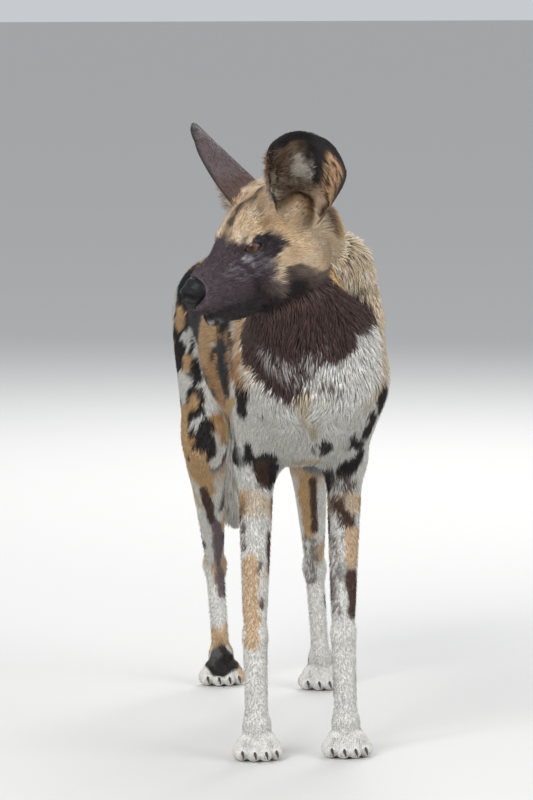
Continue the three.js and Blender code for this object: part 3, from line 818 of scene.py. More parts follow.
# %% Strokes of the seen side
SOFT_TAN = linear(216, 188, 154)
MIXED = linear(112, 96, 92)
YELLOWED = linear(206, 194, 168)
SIDE_STROKES = (
    # flank
    (226, 322, 224, 425, 18, 16, OCHRE), (222, 345, 224, 392, 9, 8, BLACK), (235, 330, 238, 372, 5, 6, BROWN),
    (214, 343, 215, 348, 3, 3, WHITE), (231, 395, 222, 426, 6, 7, TAN),
    # haunch
    (206, 248, 200, 270, 9, 9, TAN), (196, 262, 192, 292, 7, 8, BROWN), (182, 298, 180, 330, 11, 11, BLACK),
    (182, 308, 181, 322, 6, 6, TAN), (189, 334, 184, 344, 7, 7, WHITE), (178, 346, 178, 364, 9, 9, BLACK),
    (188, 356, 188, 366, 5, 5, TAN), (181, 374, 190, 398, 9, 8, WHITE), (196, 392, 197, 412, 8, 8, BLACK),
    (195, 396, 195, 404, 4, 4, TAN), (184, 404, 186, 450, 4, 5, TAN), (200, 422, 200, 425, 8, 8, WHITE),
    (205, 428, 206, 452, 9, 8, BLACK), (196, 462, 206, 488, 12, 10, TAN), (203, 488, 212, 520, 5, 5, BROWN),
    (216, 524, 222, 592, 5, 5, MAUVE), (207, 530, 210, 620, 5, 6, WHITE),
)
FRONT_STROKES = (
    # ruff, bib and throat
    (326, 246, 368, 262, 15, 11, CREAM), (336, 262, 374, 268, 6, 5, WHITE),
    (372, 292, 382, 322, 10, 9, CREAM), (362, 345, 352, 385, 14, 12, WHITE),
    (250, 318, 350, 304, 26, 24, BIB), (335, 292, 348, 300, 15, 15, BIB), (330, 280, 362, 281, 7, 6, BIB),
    (292, 292, 316, 302, 12, 12, BIB), (296, 268, 330, 278, 5, 6, BROWN), (262, 338, 338, 332, 22, 18, BIB),
    (316, 286, 342, 284, 10, 10, BIB), (288, 350, 290, 374, 34, 18, BIB), (322, 375, 342, 382, 6, 6, MIXED),
    # right shoulder and elbow
    (241, 340, 243, 372, 8, 8, OCHRE), (240, 386, 239, 408, 9, 8, BLACK),
    (259, 415, 265, 418, 2.5, 2.5, MIXED), (247, 447, 247, 457, 5.5, 5.5, BLACK),
    (266, 463, 269, 476, 13, 12, BLACK), (262, 464, 263, 480, 7, 6, BROWN),
    # chest
    (307, 392, 314, 432, 9, 5, YELLOWED), (326, 445, 328, 450, 7, 6, BLACK),
    (312, 448, 314, 452, 4, 4, MIXED), (300, 466, 318, 462, 8, 7, YELLOWED),
    (288, 472, 316, 470, 2.5, 3, BROWN),
    # left shoulder and elbow
    (384, 380, 384, 408, 6, 6, BLACK), (376, 416, 370, 432, 7, 6.5, BLACK), (357, 436, 360, 446, 6, 6, BLACK),
    (364, 453, 342, 470, 7, 7, BLACK), (340, 480, 354, 484, 8, 7, MIXED),
    # right foreleg
    (243, 508, 244, 546, 3, 3.5, MIXED), (270, 532, 270, 568, 2.5, 3, BROWN),
    (250, 562, 252, 640, 7, 8, SOFT_TAN),
    (259, 562, 259, 570, 3, 3, MIXED), (262, 600, 262, 606, 2.5, 2.5, BROWN),
    # left foreleg
    (338, 500, 350, 530, 8, 9, MIXED), (340, 504, 350, 522, 5, 5, BROWN), (332, 540, 337, 610, 6, 5, GREY),
    (354, 532, 354, 560, 7, 6, SOFT_TAN), (352, 576, 353, 612, 6, 6, BROWN),
    # left hind leg
    (306, 480, 309, 532, 10, 9, TAN), (313, 480, 315, 530, 4, 4, BROWN), (309, 540, 309, 575, 9, 8, GREY),
)
print("strokes", len(SIDE_STROKES) + len(FRONT_STROKES))

# %% Inks and edges
STROKE_DEPTHS = ((SIDE_STROKES, 0.14), (FRONT_STROKES, 0.4))
DOT = VIEW_DISTANCE / FOCAL_DOTS
EAR_INK = {
    "cavity": linear(26, 20, 20), "front": linear(150, 124, 100), "pale": linear(214, 206, 192),
    "back": linear(184, 148, 112), "foot": linear(150, 112, 82), "behind": linear(96, 82, 84),
}
STROKE_EDGE = {"margin": 0.012, "rough from": 0.016, "in": -0.0012, "out": 0.0022}
THROAT_HAIR = linear(186, 180, 178)
LEG_COVER = 1.3
REGION_COVER = 1.4
PALE_RUFF = linear(214, 198, 172)
RUFF_LINE = np.array([(0.040, -0.150, 0.660), (0.076, -0.115, 0.580), (0.060, -0.120, 0.520)])
BREAST_LINE = np.array([(0.000, -0.175, 0.540), (0.045, -0.150, 0.560), (0.040, -0.150, 0.480)])
FACE = {
    "brow": linear(212, 184, 150), "forehead": linear(168, 142, 128), "crown": linear(120, 96, 84),
    "cheek": mix(linear(98, 82, 78), linear(70, 56, 58), 0.4), "under cheek": linear(38, 30, 34),
    "eye rim": linear(50, 42, 47), "tear": linear(168, 164, 168), "under eye": linear(132, 126, 136),
    "snout fleck": linear(104, 88, 100), "lip": linear(40, 32, 36), "chin": linear(176, 172, 168),
}
CHEEK_EDGE = (
    (-0.120, -0.066), (-0.090, -0.060), (-0.060, -0.048), (-0.045, -0.036), (-0.032, -0.028),
    (-0.022, -0.038), (-0.012, -0.050), (0.004, -0.030),
)


print("inks of the face", len(FACE), "and of the ears", len(EAR_INK))

# %% Face colours
def face_colour(points):
    """The head's own colours, the same on both sides."""
    f, o, u = head_parts(points)
    o = np.abs(o)
    rough = (noise(points, 0.012, 11) - 0.5) * 0.014 + (noise(points, 0.004, 19) - 0.5) * 0.008
    f, u = f + rough, u + rough * 0.7
    streak = noise(points, 0.007, 33)
    flecks = noise(points, 0.0035, 12)
    broken = ramp(noise(points, 0.009, 39), 0.25, 0.45)
    edge = np.interp(f, *zip(*CHEEK_EDGE))
    cheek = ramp(edge - u, -0.003, 0.004)
    mask = ramp(f + 0.20 * u, -0.022, -0.008) * ramp(0.014 - u, 0.0, 0.010)
    rim = np.sqrt(((f + 0.007) / 0.027) ** 2 + ((u + 0.002) / 0.018) ** 2)
    line = (1 - ramp(o + (streak - 0.5) * 0.012, 0.002, 0.012)) * (0.55 + 0.45 * broken)
    line = line * ramp(u, -0.005, 0.02) * (1 - ramp(f, 0.02, 0.03)) * ramp(f, -0.10, -0.08)
    tear = np.sqrt(((f - 0.015) / 0.0050) ** 2 + ((u + 0.010) / 0.0055) ** 2)
    under_eye = ramp(f, -0.015, 0.0) * (1 - ramp(f, 0.030, 0.055))
    under_eye = under_eye * ramp(-u, 0.008, 0.014) * ramp(0.045 + u, 0, 0.02)
    chin = ramp(f, 0.052, 0.066) * ramp(-u, 0.074, 0.080)
    return layered(
        plain(FACE["brow"], points),
        (CREAM, ramp(noise(points, 0.02, 34), 0.35, 0.65) * 0.8),
        (TAN, ramp(u, 0.0, 0.03) * ramp(streak, 0.4, 0.7) * 0.7),
        (FACE["forehead"], ramp(f, -0.07, 0.0) * ramp(u, 0.03, 0.045) * 0.5),
        (FACE["crown"], ramp(u, 0.048, 0.062) * ramp(streak, 0.45, 0.7) * 0.6),
        (FACE["cheek"], cheek * (0.75 + 0.25 * streak)),
        (FACE["under cheek"], ramp(edge - u, 0.010, 0.026) * ramp(0.07 + f, 0.0, 0.03)),
        (BIB, ramp(-u - 0.4 * (f + 0.05), 0.070, 0.082) * ramp(0.03 - f, 0.0, 0.02)),
        (MUZZLE, mask),
        (MUZZLE, ramp(f, 0.014, 0.030)),
        (FACE["eye rim"], (1 - ramp(rim, 0.65, 1.1)) * ramp(o, 0.010, 0.018)),
        (BROWN * 0.55, line * 0.9),
        (FACE["tear"], (1 - ramp(tear, 0.4, 1.2)) * ramp(o, 0.02, 0.026) * 0.6),
        (FACE["under eye"], ramp(flecks, 0.45, 0.75) * under_eye * 0.65),
        (FACE["snout fleck"], ramp(flecks, 0.5, 0.8) * ramp(f, 0.02, 0.05) * 0.35),
        (FACE["lip"], ramp(-u, 0.060, 0.067) * ramp(f, 0.0, 0.02)),
        (FACE["chin"], chin * ramp(flecks, 0.35, 0.6) * 0.8),
    )


print("cheek edge of", len(CHEEK_EDGE), "places")

# %% Body and tail colours
def octaves(points, sizes, seed):
    """Noise of three sizes added, the coarsest strongest."""
    return sum(w * noise(points, size, seed + i) for i, (w, size) in enumerate(zip((0.6, 0.3, 0.1), sizes)))


def body_colour(points, share):
    """Colours of everything behind the head, before the strokes."""
    x, y, z = points.T
    region = dict(zip(REGIONS, share))
    patches = octaves(points, (0.085, 0.035, 0.012), 1)
    pale = octaves(points, (0.075, 0.032, 0.012), 4)
    hidden = ramp(np.where(y < 0.25, y, y - 0.50), -0.012, 0.022)
    leg = layered(
        plain(WHITE, points),
        (BLACK, ramp(noise(points, 0.030, 7), 0.66, 0.72) * hidden),
        (TAN, ramp(noise(points, 0.045, 8), 0.60, 0.68) * 0.8 * hidden),
    )
    nape = layered(
        plain(TAN, points),
        (CREAM, ramp(noise(points, 0.04, 9), 0.4, 0.7)),
        (BROWN, (1 - ramp(np.abs(x + 0.02), 0.012, 0.03)) * ramp(z, 0.66, 0.70)),
        (BROWN, ramp(patches, 0.60, 0.64) * ramp(y, -0.10, -0.04)),
    )
    behind = (region["neck"] + region["head"]) * ramp(-y, -0.04, 0.06) * ramp(z, 0.50, 0.56)
    return layered(
        plain(BLACK, points),
        (OCHRE, ramp(patches, 0.51, 0.54)),
        (TAN, ramp(patches, 0.60, 0.66)),
        (BLACK, ramp(pale, 0.555, 0.575)),
        (WHITE, ramp(pale, 0.59, 0.61)),
        (leg, region["foreleg"] * ramp(-z, -0.52, -0.44) * LEG_COVER),
        (leg, region["hindleg"] * ramp(-z, -0.36, -0.26) * LEG_COVER),
        (leg, region["paw"] * LEG_COVER),
        (WHITE, ramp(-y, -0.012, 0.030) * ramp(-z, -0.60, -0.55)),
        (nape, behind * REGION_COVER),
        (PALE_RUFF, 1 - ramp(line_distance(points, RUFF_LINE), 0.030, 0.050)),
        (WHITE, 1 - ramp(line_distance(points, BREAST_LINE), 0.028, 0.045)),
        (tail_colour(points), region["tail"] * REGION_COVER),
    )


def tail_colour(points):
    z = points[:, 2] + (noise(points, 0.02, 10) - 0.5) * 0.05
    return layered(
        plain(OCHRE, points), (BLACK, 1 - ramp(z, 0.47, 0.50)), (WHITE, 1 - ramp(z, 0.38, 0.42)),
    )


print("tail tip", np.round(tail_colour(vec(*TAIL[-1][:3])[None])[0], 2))

# %% Strokes laid on the body
def squeeze(points, share):
    """Shortens the direction of view, so that a stroke reaches round the body."""
    return points - (1 - share) * (points @ BACK)[..., None] * BACK


def placed(strokes, share):
    """Strokes with their ends on the body, in the squeezed space."""
    ends = np.array([row[:4] for row in strokes], float)
    starts = squeeze(on_body(ends[:, 0], ends[:, 1]), share)
    stops = squeeze(on_body(ends[:, 2], ends[:, 3]), share)
    return [(a, b, row[4] * DOT, row[5] * DOT, row[6]) for a, b, row in zip(starts, stops, strokes)]


STROKE_SETS = [(share, placed(strokes, share)) for strokes, share in STROKE_DEPTHS]
THROAT_GREY = on_body([268, 290, 318], [352, 372, 352])


def with_strokes(points, colour):
    """Lays the strokes of the seen side over the colours."""
    rough = (noise(points, 0.018, 14) - 0.5) * 0.014 + (noise(points, 0.006, 15) - 0.5) * 0.006
    brindle = noise(points * (1, 1, 0.45), 0.009, 36)
    mixed = noise(points, 0.0032, 37)
    for share, strokes in STROKE_SETS:
        flat = squeeze(points, share)
        for a, b, ra, rb, ink in strokes:
            reach = max(ra, rb) + STROKE_EDGE["margin"]
            near = np.all((flat > np.minimum(a, b) - reach) & (flat < np.maximum(a, b) + reach), axis=1)
            if not near.any():
                continue
            p, axis = flat[near], b - a
            t = np.clip((p - a) @ axis / max(axis @ axis, 1e-9), 0, 1)
            gap = np.linalg.norm(p - a - t[:, None] * axis, axis=1) - mix(ra, rb, t)
            gap = gap + rough[near] * min(1.0, max(ra, rb) / STROKE_EDGE["rough from"])
            amount = 1 - ramp(gap, STROKE_EDGE["in"], STROKE_EDGE["out"])
            if ink is OCHRE:
                amount = amount * (1 - 0.85 * ramp(brindle[near], 0.52, 0.66))
            if ink is MIXED or ink is GREY:
                amount = amount * ramp(mixed[near], 0.38, 0.52)
            colour[near] = paint(colour[near], ink, amount)
    return colour


def marking(points):
    """The coat's colour at places on the body."""
    _, regions = chart_distances(points)
    share = shares(regions)
    colour = with_strokes(points, body_colour(points, share))
    pale_hair = ramp(-line_distance(points, THROAT_GREY), -0.026, -0.010)
    pale_hair = pale_hair * ramp(noise(points, 0.0032, 18), 0.40, 0.52)
    colour = paint(colour, THROAT_HAIR, pale_hair * 0.9)
    f, _, _ = head_parts(points)
    head = share[REGIONS.index("head")] * ramp(f, -0.115, -0.085)
    return paint(colour, face_colour(points), ramp(head, 0.35, 0.75))


print("strokes on the body", sum(len(strokes) for _, strokes in STROKE_SETS))

# %% Ear colours
def ear_colour(u, v, layer, s):
    """The ear's colours by its own two numbers: layer 0 inside the cup, 1 behind."""
    place = np.stack([u * 3, v * 3, np.full_like(u, s + 2 * layer)], 1)
    n = noise(place, 0.55, 16)
    fine = noise(place, 0.16, 17)
    if layer:
        return layered(
            plain(EAR_INK["behind"], u),
            (BLACK, ramp(np.abs(u), 0.86, 0.96)),
            (BROWN, ramp(-v, -0.30, -0.10) * 0.8),
            (BLACK, ramp(v + 0.2 * n, 0.86, 1.0) * 0.8),
        )
    inner = u * s
    uneven = n - 0.5
    edge = 0.10 * uneven
    tan_hair = ramp(inner, 0.10, 0.35) * (1 - ramp(v + 0.4 * uneven, 0.62, 0.88))
    pale = (1 - ramp(np.abs(inner - 0.22), 0.16, 0.34)) * (1 - ramp(v + 0.2 * uneven, 0.42, 0.62))
    back_strip = ramp(-inner, 0.34, 0.52) * (1 - ramp(v + 0.3 * uneven, 0.66, 0.88))
    foot = (1 - ramp(v, 0.10, 0.24)) * ramp(-inner, -0.3, 0.1)
    rim = np.maximum(ramp(np.abs(u) + edge, 0.80, 0.93) * ramp(v, 0.15, 0.4), ramp(v + edge, 0.72, 0.84))
    return layered(
        plain(EAR_INK["cavity"], u),
        (EAR_INK["front"], tan_hair * (0.45 + 0.5 * fine)),
        (EAR_INK["pale"], pale * 0.95),
        (EAR_INK["back"], back_strip * ramp(fine, 0.25, 0.6)),
        (EAR_INK["foot"], foot * ramp(fine, 0.35, 0.6) * 0.8),
        (BLACK, rim),
    )


middle = np.array([0.0])
print("middle of the left cup", np.round(ear_colour(middle, middle + 0.5, 0, 1)[0], 2))

# %% [markdown]
# ## Materials
# Every hair and the skin take their colour from an attribute written on their
# points, so that skin and coat agree. A node group adds the fine mottle that
# no point could carry. Wet parts get a clear coat; hair stays rough.

# %% Shader tools
def shader_group(name, inputs, outputs):
    group = bpy.data.node_groups.new(name, "ShaderNodeTree")
    for label, kind, value in inputs:
        socket = group.interface.new_socket(label, in_out="INPUT", socket_type="NodeSocket" + kind)
        socket.default_value = value
    for label, kind in outputs:
        group.interface.new_socket(label, in_out="OUTPUT", socket_type="NodeSocket" + kind)
    return group, group.nodes.new("NodeGroupInput"), group.nodes.new("NodeGroupOutput")


def wire(tree, *wires):
    """Joins sockets: from a node's output to another node's input, row by row."""
    for source, leaving, target, entering in wires:
        tree.links.new(source.outputs[leaving], target.inputs[entering])


def add_node(tree, kind, **values):
    node = tree.nodes.new(kind)
    for key, value in values.items():
        setattr(node, key, value)
    return node


# %% Mottle
def mottle_group():
    """Varies a colour by fine noise and gives a bumped normal."""
    group, given, out = shader_group(
        "mottle",
        [("Colour", "Color", (0.5, 0.5, 0.5, 1)), ("Scale", "Float", 300.0), ("Change", "Float", 0.2),
         ("Bump", "Float", 0.3)],
        [("Colour", "Color"), ("Normal", "Vector")],
    )
    place = add_node(group, "ShaderNodeTexCoord")
    grain = add_node(group, "ShaderNodeTexNoise", noise_dimensions="3D")
    grain.inputs["Detail"].default_value = 4
    spread = add_node(group, "ShaderNodeMapRange")
    spread.inputs["From Min"].default_value = 0.3
    spread.inputs["From Max"].default_value = 0.7
    low = add_node(group, "ShaderNodeMath", operation="SUBTRACT")
    low.inputs[0].default_value = 1
    high = add_node(group, "ShaderNodeMath", operation="ADD")
    high.inputs[0].default_value = 1
    tint = add_node(group, "ShaderNodeVectorMath", operation="SCALE")
    bump = add_node(group, "ShaderNodeBump")
    bump.inputs["Distance"].default_value = 0.0006
    wire(
        group,
        (place, "Object", grain, "Vector"), (given, "Scale", grain, "Scale"), (grain, "Fac", spread, "Value"),
        (given, "Change", low, 1), (given, "Change", high, 1),
        (low, 0, spread, "To Min"), (high, 0, spread, "To Max"),
        (given, "Colour", tint, 0), (spread, "Result", tint, "Scale"), (tint, "Vector", out, "Colour"),
        (grain, "Fac", bump, "Height"), (given, "Bump", bump, "Strength"), (bump, "Normal", out, "Normal"),
    )
    return group


MOTTLE = mottle_group()
print("mottle nodes", len(MOTTLE.nodes))

# %% Materials
def painted_material(name, scale, change, bump, **finish):
    """A material that takes the points' colour, with the mottle over it."""
    material = bpy.data.materials.new(name)
    material.use_nodes = True
    tree = material.node_tree
    shader = tree.nodes["Principled BSDF"]
    for socket, value in finish.items():
        shader.inputs[socket.replace("_", " ")].default_value = value
    colour = add_node(tree, "ShaderNodeAttribute", attribute_name="colour")
    mottle = add_node(tree, "ShaderNodeGroup", node_tree=MOTTLE)
    mottle.inputs["Scale"].default_value = scale
    mottle.inputs["Change"].default_value = change
    mottle.inputs["Bump"].default_value = bump
    wire(
        tree, (colour, "Color", mottle, "Colour"),
        (mottle, "Colour", shader, "Base Color"), (mottle, "Normal", shader, "Normal"),
    )
    return material


def plain_material(name, colour, roughness):
    material = bpy.data.materials.new(name)
    material.use_nodes = True
    shader = material.node_tree.nodes["Principled BSDF"]
    shader.inputs["Base Color"].default_value = (*colour, 1)
    shader.inputs["Roughness"].default_value = roughness
    return material


def set_colour(mesh, colours):
    """Writes one colour per vertex."""
    layer = mesh.color_attributes.new("colour", "FLOAT_COLOR", "POINT")
    rgba = np.ones((len(mesh.vertices), 4), np.float32)
    rgba[:, :3] = colours
    layer.data.foreach_set("color", rgba.ravel())


def smooth(obj):
    obj.data.polygons.foreach_set("use_smooth", np.ones(len(obj.data.polygons), bool))
    obj.data.update()


SKIN = painted_material("skin", 900.0, 0.25, 0.7, Roughness=0.75)
HAIR = painted_material("hair", 500.0, 0.12, 0.0, Roughness=0.62, Specular_IOR_Level=0.35)
EYEBALL = painted_material(
    "eyeball", 1200.0, 0.12, 0.0,
    Roughness=0.35, Specular_IOR_Level=0.2, Coat_Weight=0.45, Coat_Roughness=0.03,
)
LEATHER = painted_material(
    "nose leather", 1100.0, 0.25, 0.9, Roughness=0.55, Coat_Weight=0.05, Specular_IOR_Level=0.25,
)
CLAW_HORN = painted_material("claw horn", 700.0, 0.2, 0.25, Roughness=0.42)
print("materials", len(bpy.data.materials))

# %% [markdown]
# ## Finishing the skin
# The skin takes the same colours as the coat will. On an ear the two ear
# numbers of the nearest place of the sheet give the colour.

# %% Skin colours
def ear_tree():
    """Finds the ear numbers of a place: side, u, v and layer."""
    samples, places = [], []
    for _, s in SIDES:
        for layer in (0, 1):
            for v in np.linspace(0, 1, 41):
                for u in np.linspace(-1, 1, 41):
                    samples.append((s, u, v, layer))
    samples = np.array(samples)
    for s, u, v, layer in samples:
        places.append(ear_point(s, u, v, 0.30 + 0.40 * layer))
    tree = KDTree(len(places))
    for i, place in enumerate(places):
        tree.insert(place, i)
    tree.balance()
    return tree, samples


def mesh_points(mesh):
    flat = np.empty(len(mesh.vertices) * 3)
    mesh.vertices.foreach_get("co", flat)
    return flat.reshape(-1, 3)


LID_EDGE = {"reach": 0.0016, "ink": linear(24, 18, 18)}
SKIN_SHADE = 0.8
EAR_CLEAR = 0.002
EAR_NEAR = 0.01

points = mesh_points(skin.data) - SHIFT
colours = marking(points)
whole, _ = chart_distances(points)
tree, ear_numbers = ear_tree()
for i in np.flatnonzero(whole > EAR_CLEAR):
    _, nearest, gap = tree.find(points[i])
    if gap < EAR_NEAR:
        s, u, v, layer = ear_numbers[nearest]
        colours[i] = ear_colour(np.array([u]), np.array([v]), int(layer), s)[0]
for _, s in SIDES:
    _, ball = eye_opening(points, s)
    colours[ball < EYE["radius"] + LID_EDGE["reach"]] = LID_EDGE["ink"]
set_colour(skin.data, colours * SKIN_SHADE)
skin.data.materials.clear()
skin.data.materials.append(SKIN)
smooth(skin)
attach(skin, "root")
flesh = [n for n in frame["nodes"] if not n.startswith(("eye", "nose", "claw"))]
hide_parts(*flesh)
print("skin stands for", len(flesh), "solids")

# %% [markdown]
# ## Eyes
# Each eye is a ball with a clear bulge over the iris. The ball's rings are laid
# round the way it looks, so that pupil, iris and dark white are true rings. A
# wild dog's iris is amber brown and its white hardly shows.

# %% Eyeballs
IRIS = {
    "pupil": 0.23, "edge": 0.60, "ring_edge": 0.70, "black": linear(6, 5, 6), "inner": linear(58, 32, 22),
    "outer": linear(112, 62, 38), "ring": linear(40, 24, 18), "white": linear(44, 34, 32),
}
CORNEA = {"rise": 0.0007, "width": 0.55}


def eyeball(s, around=48, rings=40):
    centre, look, along, up = eye_frame(s, GAZE)
    verts, colours = [], []
    for j in range(rings + 1):
        angle = math.pi * (j / rings) ** 1.5
        bulge = CORNEA["rise"] * math.exp(-((angle / CORNEA["width"]) ** 2))
        for i in range(around):
            turn = 2 * math.pi * i / around
            ray = math.cos(angle) * look + math.sin(angle) * (math.cos(turn) * along + math.sin(turn) * up)
            verts.append(centre + (EYE["radius"] + bulge) * ray)
            colours.append(iris_colour(angle, turn))
    faces = []
    for j in range(1, rings - 1):
        for i in range(around):
            k = (i + 1) % around
            faces.append((j * around + i, j * around + k, (j + 1) * around + k, (j + 1) * around + i))
    faces.append([around + i for i in range(around)][::-1])
    faces.append([(rings - 1) * around + i for i in range(around)])
    if s < 0:
        faces = [f[::-1] for f in faces]
    used = slice(around, rings * around)
    shifted = [[v - around for v in f] for f in faces]
    return np.array(verts)[used], shifted, np.array(colours)[used]


def iris_colour(angle, turn):
    """Pupil, iris with darker rim and rays, then the dull white of the eye."""
    if angle < IRIS["pupil"]:
        return IRIS["black"]
    if angle < IRIS["edge"]:
        rays = 0.85 + 0.15 * math.sin(turn * 17) * math.sin(turn * 7 + 1)
        along = (angle - IRIS["pupil"]) / (IRIS["edge"] - IRIS["pupil"])
        return mix(IRIS["inner"], IRIS["outer"], along) * rays
    return IRIS["ring"] if angle < IRIS["ring_edge"] else IRIS["white"]


for name, s in SIDES:
    verts, faces, colours = eyeball(s)
    ball = make_object("eyeball_" + name, verts, faces, EYEBALL)
    set_colour(ball.data, colours)
    smooth(ball)
    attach(ball, "root")
    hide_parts("eye_" + name)
print("eyes looking", np.round(eye_frame(1)[1], 2))

# %% [markdown]
# ## Nose leather
# The nose is bare pebbled skin with two nostrils shaped like commas, open to
# the front and slit to the side, and a groove between them down to the lip.

# %% Nose
NOSTRIL = {"out": 0.0080, "size": 0.0056}


def nose_distance(points):
    h = in_head
    pad = Muscle(h(0.075, 0, -0.035), h(0.0835, 0, -0.038), 0.0165, 0.0132, 1.14, LEFT)
    lower = Muscle(h(0.079, 0, -0.051), h(0.080, 0, -0.043), 0.0088, 0.0125, 1.0, LEFT, 0.008)
    d = melt(pad.distance(points), lower.distance(points), lower.blend)
    for _, s in SIDES:
        o = NOSTRIL["out"]
        path = [h(0.0965, s * o * 0.85, -0.038), h(0.0935, s * o * 1.30, -0.0405),
                h(0.0885, s * o * 1.85, -0.0435), h(0.081, s * o * 2.25, -0.0440)]
        narrow = mix(0.45, 1.0, ramp(head_parts(points)[0], 0.080, 0.090))
        hole = NOSTRIL["size"] * narrow - line_distance(points, path)
        d = np.where(d > -0.02, -melt(-d, -hole, 0.0022), d)
        wing = line_distance(points, [h(0.090, s * o * 1.5, -0.032), h(0.082, s * o * 2.0, -0.034)])
        d = d - 0.0012 * np.exp(-(wing / 0.003) ** 2)
    f, o, u = head_parts(points)
    groove = np.exp(-(o / 0.0007) ** 2) * ramp(-u, 0.040, 0.046)
    return d + 0.0014 * groove


def surface(distance, low, high, step):
    """A closed skin of a distance within a box."""
    count = np.ceil((high - low) / step).astype(int) + 1
    axes = [low[i] + step * np.arange(count[i]) for i in range(3)]
    places = np.stack(np.meshgrid(*axes, indexing="ij"), -1)
    values = distance(places.reshape(-1, 3)).reshape(count)
    verts, faces = surface_nets(values, low, step)
    return draw_on(verts, distance, most=step), faces


NOSE_GRID = {"half": 0.022, "step": 0.0009}
nose_middle = in_head(0.081, 0, -0.038)
nose_verts, nose_faces = surface(
    nose_distance, nose_middle - NOSE_GRID["half"], nose_middle + NOSE_GRID["half"], NOSE_GRID["step"],
)
nose = make_object("nose_leather", nose_verts, nose_faces, LEATHER)
lit = ramp(nose_distance(nose_verts + 0.002 * unit(nose_verts - nose_middle)), -0.001, 0.002)
set_colour(nose.data, paint(plain(linear(3, 3, 3), nose_verts), linear(9, 9, 10), lit))
smooth(nose)
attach(nose, "root")
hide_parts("nose")
print("nose", len(nose_verts), "vertices")

# %% [markdown]
# ## Claws
# Four blunt claws grow on each foot. A claw is a bent cone from inside the toe,
# and sixteen of them are the same loop at sixteen toe tips.

# %% Claws
CLAW = {"length": 0.015, "width": 0.0055, "drop": 0.006}


def claw(root, around=14, rings=10):
    verts, faces = [], []
    for j in range(rings):
        t = j / rings
        centre = root + vec(0, -CLAW["length"] * t, -CLAW["drop"] * t * t)
        radius = CLAW["width"] / 2 * math.sqrt(1 - t)
        for i in range(around):
            turn = 2 * math.pi * i / around
            verts.append(centre + radius * vec(0.8 * math.cos(turn), 0, 1.1 * math.sin(turn)))
    for j in range(rings - 1):
        for i in range(around):
            k = (i + 1) % around
            faces.append((j * around + i, (j + 1) * around + i, (j + 1) * around + k, j * around + k))
    verts.append(root + vec(0, -CLAW["length"], -CLAW["drop"]))
    last = (rings - 1) * around
    for i in range(around):
        faces.append((last + i, rings * around, last + (i + 1) % around))
    faces.append(tuple(range(around)))
    return verts, faces


claw_verts, claw_faces = [], []
for name, _ in SIDES:
    for foot in (FORELEG[name][3], HINDLEG[name][3]):
        for k in TOES:
            verts, faces = claw(toe_tip(foot, k) + vec(0, -0.005, 0.003))
            claw_faces += [tuple(i + len(claw_verts) for i in f) for f in faces]
            claw_verts += verts
claws = make_object("claws", claw_verts, claw_faces, CLAW_HORN)
set_colour(claws.data, plain(linear(62, 50, 44), claw_verts))
smooth(claws)
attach(claws, "root")
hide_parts(*[n for n in frame["nodes"] if n.startswith("claw")])
print("claws", len(claw_verts), "vertices")

# %% [markdown]
# ## Whiskers
# Stiff feelers grow from the upper lip in rows. They are one shape repeated,
# so a Geometry Nodes tree puts a thin cone on each root, turned the way the
# root says, and makes the copies real.

# %% Whisker tree
WHISKER = {"length": 0.024, "thickness": 0.00022, "rows": 3, "in_row": 5, "apart": 0.008, "drop": 0.005}
WHISKER_HAIR = plain_material("whisker", linear(40, 34, 36), 0.5)


def whisker_tree():
    tree = bpy.data.node_groups.new("whiskers", "GeometryNodeTree")
    tree.interface.new_socket("Geometry", in_out="INPUT", socket_type="NodeSocketGeometry")
    for label in ("Length", "Thickness"):
        tree.interface.new_socket(label, in_out="INPUT", socket_type="NodeSocketFloat")
    tree.interface.new_socket("Geometry", in_out="OUTPUT", socket_type="NodeSocketGeometry")
    given = tree.nodes.new("NodeGroupInput")
    out = tree.nodes.new("NodeGroupOutput")
    cone = add_node(tree, "GeometryNodeMeshCone", fill_type="NGON")
    cone.inputs["Vertices"].default_value = 5
    way = add_node(tree, "GeometryNodeInputNamedAttribute", data_type="FLOAT_VECTOR")
    way.inputs["Name"].default_value = "way"
    turn = add_node(tree, "FunctionNodeAlignRotationToVector", axis="Z")
    copies = tree.nodes.new("GeometryNodeInstanceOnPoints")
    real = tree.nodes.new("GeometryNodeRealizeInstances")
    dress = tree.nodes.new("GeometryNodeSetMaterial")
    dress.inputs["Material"].default_value = WHISKER_HAIR
    wire(
        tree,
        (given, "Length", cone, "Depth"), (given, "Thickness", cone, "Radius Bottom"),
        (given, "Geometry", copies, "Points"), (cone, "Mesh", copies, "Instance"),
        (way, "Attribute", turn, "Vector"), (turn, "Rotation", copies, "Rotation"),
        (copies, "Instances", real, "Geometry"), (real, "Geometry", dress, "Geometry"),
        (dress, "Geometry", out, "Geometry"),
    )
    return tree


def set_input(modifier, label, value):
    """Sets a tree's named input by its identifier."""
    for item in modifier.node_group.interface.items_tree:
        if item.item_type == "SOCKET" and item.in_out == "INPUT" and item.name == label:
            modifier[item.identifier] = value


